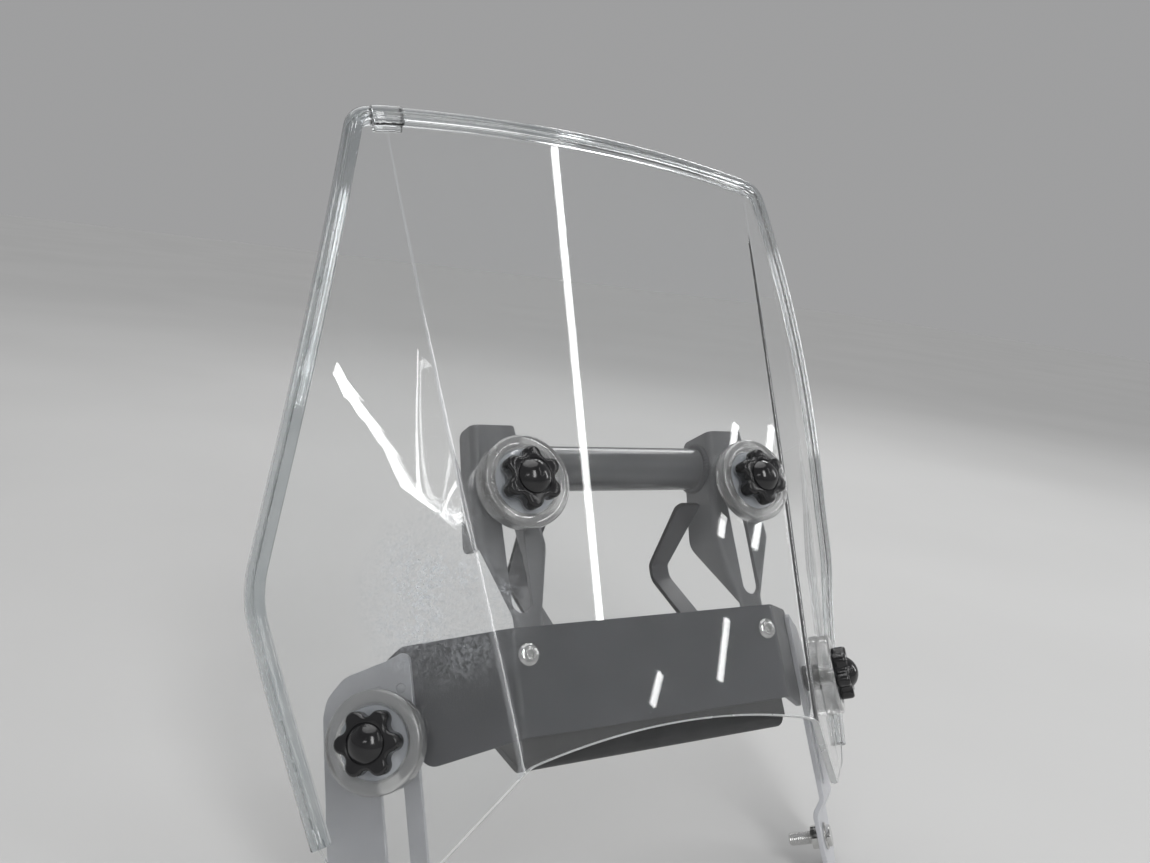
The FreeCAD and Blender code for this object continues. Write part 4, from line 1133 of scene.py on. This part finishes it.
def uprights():
    arc_map = BentPath([(0.0, 60.0), (0.0, 0.0), (60.0, 0.0)], (FLANGE_BEND,), start=-60.0)

    def place(flat, depth):
        p, w = flat.T
        inner, outer = pad_edge(PAD_IN_U, w), pad_edge(PAD_OUT_U, w)
        in_u, in_v = arc_map.place(p - inner, depth)
        out_u, out_v = arc_map.place(outer - p, depth)
        is_inner = p < (inner + outer) / 2
        u = np.where(is_inner, inner + in_u, outer - out_u)
        return np.stack([u, UPRIGHT_V + np.where(is_inner, in_v, out_v), w], axis=1)
    top, shoulder, neck, low = PAD_W
    loop = [
        (PAD_IN_U[0] - INNER_FLANGE, top, 5.0), (PAD_IN_U[1] - INNER_FLANGE, shoulder, 12.0),
        (PAD_IN_U[2] - 3.0, neck, 6.0), (PAD_IN_U[3], neck - 3.0, 1.5), (PAD_IN_U[3], low, 2.0),
        (PAD_OUT_U[3], low, 2.0), (PAD_OUT_U[2], neck, 12.0), (PAD_OUT_U[1], shoulder, 2.0),
        (PAD_OUT_U[1] + OUTER_FLANGE, shoulder, 5.0), (PAD_OUT_U[0] + OUTER_FLANGE, top, 5.0),
    ]
    loops = [rounded_loop(loop, 2.5),
             slot_loop(UPPER_U, SLOT_END, -TRAVEL - SLOT_END, SLOT_DIA / 2),
             circle_loop(SCREW_U, SCREW_W, SCREW_HOLE, 32)]
    grid = []
    for w in np.arange(-124.0, 38.0, 5.0):
        inner, outer = float(pad_edge(PAD_IN_U, w)), float(pad_edge(PAD_OUT_U, w))
        bend = np.linspace(-FLANGE_BEND - 0.2, FLANGE_BEND + 0.2, 9)
        across = [*(inner + bend), *(outer + bend), *(inner - np.arange(8, 28, 5.0)),
                  *(outer + np.arange(8, 18, 4.0)), *np.arange(inner + 7, outer - 6, 6.0)]
        grid += [(u, w) for u in across]
    # The uprights take the lighter copy of the coat, painted sheen
    paired_sheets("slotted_upright_", "upright_", loops, np.array(grid), place, PLATE, PLATE_EDGE,
                  slot="stay", material=UPRIGHT_SHEEN_MATERIAL)


def mounting_rail():
    """Raked flange and level foot, drawn in the part frame and given back as raked points."""
    top = Vector(turned([(0.0, UPRIGHT_V + PLATE, RAIL_TOP_W)])[0, 1:] - (ORIGIN_Y, ORIGIN_Z))
    corner = top + Vector((-SIN_R, -COS_R)) * (top.y / COS_R)
    end_y = RAIL_FOOT - RAIL_HOLE_BACK
    path = BentPath([top, corner, (end_y, 0.0)], (RAIL_BEND_RADIUS,))
    corner_at = (corner - top).length
    hole_at, total = corner_at - corner.x, corner_at + end_y - corner.x
    loops = [rounded_loop([(-RAIL_HALF, -total, 8.0), (RAIL_HALF, -total, 8.0),
                           (RAIL_HALF, 0.0, 6.0), (-RAIL_HALF, 0.0, 6.0)], 3.0)]
    loops += [circle_loop(s * RAIL_HOLES / 2, -hole_at, RAIL_HOLE_DIA / 2, 40) for s in (1, -1)]
    loops += [circle_loop(s * SCREW_U, SCREW_W - RAIL_TOP_W, SCREW_HOLE, 32) for s in (1, -1)]

    def place(flat, depth):
        y, z = path.place(-flat[:, 1], depth)
        y, z = y + ORIGIN_Y, z + ORIGIN_Z
        return np.stack([flat[:, 0], y * COS_R - z * SIN_R, y * SIN_R + z * COS_R], axis=1)
    rows = -np.concatenate([np.arange(5.0, corner_at - 14, 7.0),
                            np.arange(corner_at + 14, total, 7.0),
                            np.linspace(corner_at - 13, corner_at + 13, 17)])
    bent_sheet("angle_rail", loops, grid_points(np.arange(-82, 83, 8.0), rows), place, RAIL_SHEET,
               RAIL_EDGE, body="stay", slot="rail", stands_for=("mounting_rail",))


def braces():
    foot_v = RAIL_BACK_V + BRACE_SHEET
    along_v = (foot_v, foot_v, BRACE_ELBOW_V, BRACE_ELBOW_V, BRACE_TOP_V)
    path = BentPath(list(zip(along_v, BRACE_W)), BRACE_RADII)
    total = path.at[-1]

    def place(flat, depth):
        v, w = path.place(flat[:, 1], depth)
        return np.stack([flat[:, 0], v, w], axis=1)
    slant = math.hypot(BRACE_ELBOW_V - BRACE_TOP_V, BRACE_W[4] - BRACE_W[3])
    top_u = pad_edge(PAD_IN_U, BRACE_W[4]) - 0.3
    loop = [(BRACE_IN_U, 0.0, 5.0), (BRACE_OUT_U, 0.0, 5.0), (BRACE_OUT_U, BRACE_FOOT, 10.0),
            (BRACE_NECK_U, BRACE_NECK, 20.0), (BRACE_NECK_U - 0.2, total - slant, 8.0),
            (top_u, total, 1.0), (BRACE_IN_U, total, 5.0)]
    grid = grid_points(np.arange(BRACE_IN_U + 3, BRACE_OUT_U, 5.0),
                       np.linspace(2.0, total - 2.0, 60))
    paired_sheets("elbow_strap_", "brace_", [rounded_loop(loop, 3.0)], grid, place, BRACE_SHEET,
                  BRACE_EDGE, slot="stay")


def crossbar():
    angles = np.linspace(0, 2 * math.pi, 96, endpoint=False)
    w = BAR_W + BAR_DIA / 2 * np.sin(angles)
    v = BAR_V + BAR_DIA / 2 * np.cos(angles)
    end = pad_edge(PAD_IN_U, w) - 0.1
    rings = [np.stack([end * share, v, w], axis=1)
             for share in (-1, -0.97, -0.9, -0.5, 0, 0.5, 0.9, 0.97, 1)]
    # The tube takes the lighter copy of the coat, painted sheen
    add_piece("cross_tube", *ringed(rings), "stay", "stay", ("crossbar",), material=BAR_SHEEN_MATERIAL)
    for side, sign in SIDES:
        weld_ring("tube_weld_" + side, sign)


def weld_ring(name, sign):
    """Rippled fillet weld round one end of the tube."""
    radius = BAR_DIA / 2 + 0.3
    around = np.linspace(0, 2 * math.pi, 12, endpoint=False)
    rings = []
    for a in np.linspace(0, 2 * math.pi, 220, endpoint=False):
        bead = WELD_RADIUS * (1 + WELD_RIPPLE * math.cos(WELD_RIPPLES * a))
        u = pad_edge(PAD_IN_U, BAR_W + radius * math.sin(a)) - 0.5 + bead * np.sin(around)
        out = radius + bead * np.cos(around)
        rings.append(np.stack([sign * u, BAR_V + out * math.cos(a), BAR_W + out * math.sin(a)],
                              axis=1))
    outward_mesh(add_piece(name, *ringed(rings, closed=True), "stay", "stay", sharp=80.0).data)


# Fasteners: z = 0 is under the head

NUT_HEIGHT = 5.0
# Plate screws and side bolts: diameter, nut across its flats, thread past the nut
SCREW_DIA, SCREW_NUT, SCREW_SPARE = 6.0, 10.0, 2.0
SIDE_BOLT_DIA, SIDE_NUT, SIDE_SPARE = 8.0, 13.0, 14.0
SOCKET_ACROSS = 4.0
HEAD_ACROSS = 12.0


def button_screw(grip):
    """Button head with a hexagon socket, shank and nut."""
    socket = hexagon(SOCKET_ACROSS)
    rows = [(6.0, 0.0), (6.0, 0.5), (5.85, 0.95), (5.4, 1.45), (4.7, 1.95), (3.9, 2.25),
            (3.0, 2.38), (lambda a: socket(a) + 0.25, 2.38), (socket, 2.2), (socket, 0.7),
            (0.5, 0.5)]
    shank = threaded(SCREW_DIA / 2 - 0.05, -grip - NUT_HEIGHT - SCREW_SPARE, 0.2, pitch=1.0,
                     depth=0.3)
    nut = nut_mesh(SCREW_NUT, -grip - NUT_HEIGHT, -grip, SCREW_DIA / 2)
    return joined(lathe(rows, 48), shank, nut)


def nut_mesh(across, low, high, bore):
    """Hexagon nut with chamfered corners."""
    shape = hexagon(across)
    reach, flat = across / math.sqrt(3), across / 2

    def capped(limit):
        return lambda a: np.minimum(shape(a), limit)
    rows = [(bore, low), (capped(flat - 0.1), low), (capped(flat + 0.1), low + 0.05),
            (capped(reach), low + 0.55), (capped(reach), high - 0.55),
            (capped(flat + 0.1), high - 0.05), (capped(flat - 0.1), high), (bore, high)]
    return lathe(rows, 72, closed=True)


def flange_bolt():
    """Hexagon head on a flange, nut behind the plate and shank."""
    shape = hexagon(HEAD_ACROSS)
    rows = [(7.8, 0.02), (8.0, 0.3), (8.0, 0.9), (7.5, 1.5), (6.9, 1.65), (shape, 1.8),
            (shape, 3.5), (lambda a: np.minimum(shape(a), 6.1), 3.95), (5.4, 4.0)]
    nut = nut_mesh(SIDE_NUT, -PLATE - NUT_HEIGHT, -PLATE - 0.02, SIDE_BOLT_DIA / 2)
    shank = threaded(SIDE_BOLT_DIA / 2 - 0.03, -PLATE - NUT_HEIGHT - SIDE_SPARE, 0.2)
    return joined(lathe(rows, 72), nut, shank)


def fasteners():
    middle = lower_run()
    rivet, rivet_faces = lathe((
        (1.0, -PLATE - 1.6), (3.0, -PLATE - 1.35), (4.1, -PLATE - 0.7), (4.5, -PLATE - 0.05),
        (2.48, -PLATE), (2.48, PLATE - 0.15), (2.3, PLATE)), 32)
    for side, sign in SIDES:
        axis = np.array((sign * SIN_WING, -COS_WING, 0.0))

        def on_wing(mesh, run, behind, w):
            u, v = wing_uv(run, behind)
            return along(mesh, np.array((sign * u, v, w)), axis)
        verts, faces = button_screw(2 * PLATE + RAIL_SHEET)
        seat = np.array((sign * SCREW_U, PLATE_V, SCREW_W))
        add_piece("button_screw_" + side, along(verts, seat, (0, -1, 0)), faces, "stay",
                  "fastener", ("plate_screw_" + side,), sharp=32.0)
        verts, faces = flange_bolt()
        add_piece("flange_bolt_" + side, on_wing(verts, middle, JOGGLE - PLATE, SIDE_BOLT_W),
                  faces, "stay", "fastener", ("side_bolt_" + side,), sharp=32.0)
        verts, faces = joined(*((on_wing(rivet, middle + run, 0.0, RIVET_W), rivet_faces)
                                for run in RIVET_RUNS))
        add_piece("rivets_" + side, verts, faces, "stay", "side_plate", ("lap_rivets_" + side,))


# Studio

def make_camera():
    data = bpy.data.cameras.new("camera")
    data.sensor_width = SENSOR_MM
    data.lens = LENS_MM
    data.clip_start = 0.01
    camera = add_object("camera", data)
    turn = CAMERA_FORWARD.to_track_quat("-Z", "Y").to_matrix().to_4x4()
    roll = Matrix.Rotation(math.radians(CAMERA_ROLL_DEG), 4, "Z")
    camera.matrix_world = Matrix.Translation(CAMERA_AT) @ turn @ roll
    bpy.context.scene.camera = camera


FLOOR_DROP = 0.001
FLOOR_HALF = 14.0


def make_floor():
    z = CAD_BOX[0].z - FLOOR_DROP
    corners = [(x * FLOOR_HALF, y * FLOOR_HALF, z) for x, y in ((-1, -1), (1, -1), (1, 1), (-1, 1))]
    mesh = bpy.data.meshes.new("floor")
    mesh.from_pydata(corners, [], [(0, 1, 2, 3)])
    mesh.materials.append(make_material("pale_floor", (0.54, 0.54, 0.536), (0.57, 0.57, 0.566),
                                        (0.75, 0.85), 1.5, 250.0, (0.1, 0.0005)))
    add_object("floor", mesh)


# World brightness by height above the horizon: sine of the height and grey
SKY = ((0.0, 0.345), (0.38, 0.345), (0.62, 0.26), (1.0, 0.2))


def make_world():
    world = bpy.data.worlds.new("world")
    bpy.context.scene.world = world
    world.use_nodes = True
    tree = world.node_tree
    place = add_node(tree, "TexCoord", {}, "Generated")
    height = add_node(tree, "SeparateXYZ", {"Vector": place}, "Z")
    colour = add_node(tree, "ValToRGB", {"Fac": height}, "Color")
    stops = colour.node.color_ramp.elements
    while len(stops) < len(SKY):
        stops.new(0.5)
    for stop, (at, grey) in zip(stops, SKY):
        stop.position = at
        stop.color = (grey, grey, grey * 1.01, 1)
    fill_inputs(tree, tree.nodes["Background"], {"Color": colour})


# Area lights. Columns: name, middle of one short side, middle of the other, width, brightness
LIGHTS = [
    ("overhead", (-0.9, 1.05, 2.3), (0.9, 1.05, 2.3), 1.5, 0.6),
    ("front_box", (-0.29, -2.12, 0.96), (-0.235, -1.25, 2.03), 0.45, 8.5),
    ("side_box", (2.3, -0.6, 0.35), (2.2, -0.45, 1.5), 0.3, 7.0),
    ("long_tube", (1.075, -0.696, 2.41), (1.145, -1.781, 1.397), 0.036, 15.0),
    ("wing_tube_high", (-1.3, -1.475, 1.255), (-1.64, -1.22, 1.16), 0.08, 15.0),
    ("wing_tube_upper", (-1.64, -1.22, 1.16), (-1.71, -1.16, 1.12), 0.046, 15.0),
    ("wing_tube_mid", (-1.71, -1.16, 1.12), (-1.76, -1.12, 1.07), 0.03, 15.0),
    ("wing_tube_low", (-1.76, -1.12, 1.07), (-1.84, -1.073, 0.965), 0.018, 15.0),
    ("wing_tube_back", (-1.31, -1.12, 1.63), (-1.82, -1.072, 0.99), 0.003, 15.0),
    ("short_tube_high", (1.66, -0.87, 1.39), (1.55, -1.17, 1.21), 0.03, 12.0),
    ("short_tube_side", (1.82, -0.76, 1.3), (1.68, -1.11, 1.12), 0.03, 12.0),
    ("short_tube_low", (1.73, -1.5, 1.17), (1.65, -1.65, 1.05), 0.03, 12.0),
    ("short_tube_mid", (1.39, -1.77, 1.18), (1.33, -1.85, 1.12), 0.03, 12.0),
    ("rear_box", (1.0, 1.75, 1.65), (1.85, 1.05, 1.65), 0.35, 9.0),
]
LIGHT_AIM = Vector((0.0, 0.03, 0.15))
SUN_POWER = 1.1
SUN_SPREAD_DEG = 56.0
SUN_TILT_DEG = -16.0


def make_lights():
    for name, first, last, width, brightness in LIGHTS:
        first, last = Vector(first), Vector(last)
        light = bpy.data.lights.new(name, "AREA")
        light.shape = "RECTANGLE"
        light.size = (last - first).length
        light.size_y = width
        light.energy = brightness * light.size * light.size_y * math.pi
        middle = (first + last) / 2
        side = (last - first).normalized()
        back = (middle - LIGHT_AIM).normalized()
        back = (back - side * back.dot(side)).normalized()
        up = back.cross(side)
        lamp = add_object(name, light)
        lamp.matrix_world = Matrix((
            (side.x, up.x, back.x, middle.x), (side.y, up.y, back.y, middle.y),
            (side.z, up.z, back.z, middle.z), (0, 0, 0, 1),
        ))
    sun = bpy.data.lights.new("sky_glow", "SUN")
    sun.energy = SUN_POWER
    sun.angle = math.radians(SUN_SPREAD_DEG)
    add_object("sky_glow", sun).rotation_euler = (math.radians(SUN_TILT_DEG), 0.0, 0.0)


make_camera()
screen_panel()
edge_trim()
clamps()
centre_plate()
side_plates()
uprights()
mounting_rail()
braces()
crossbar()
fasteners()
make_floor()
make_world()
make_lights()
bpy.context.scene.view_settings.view_transform = "Standard"
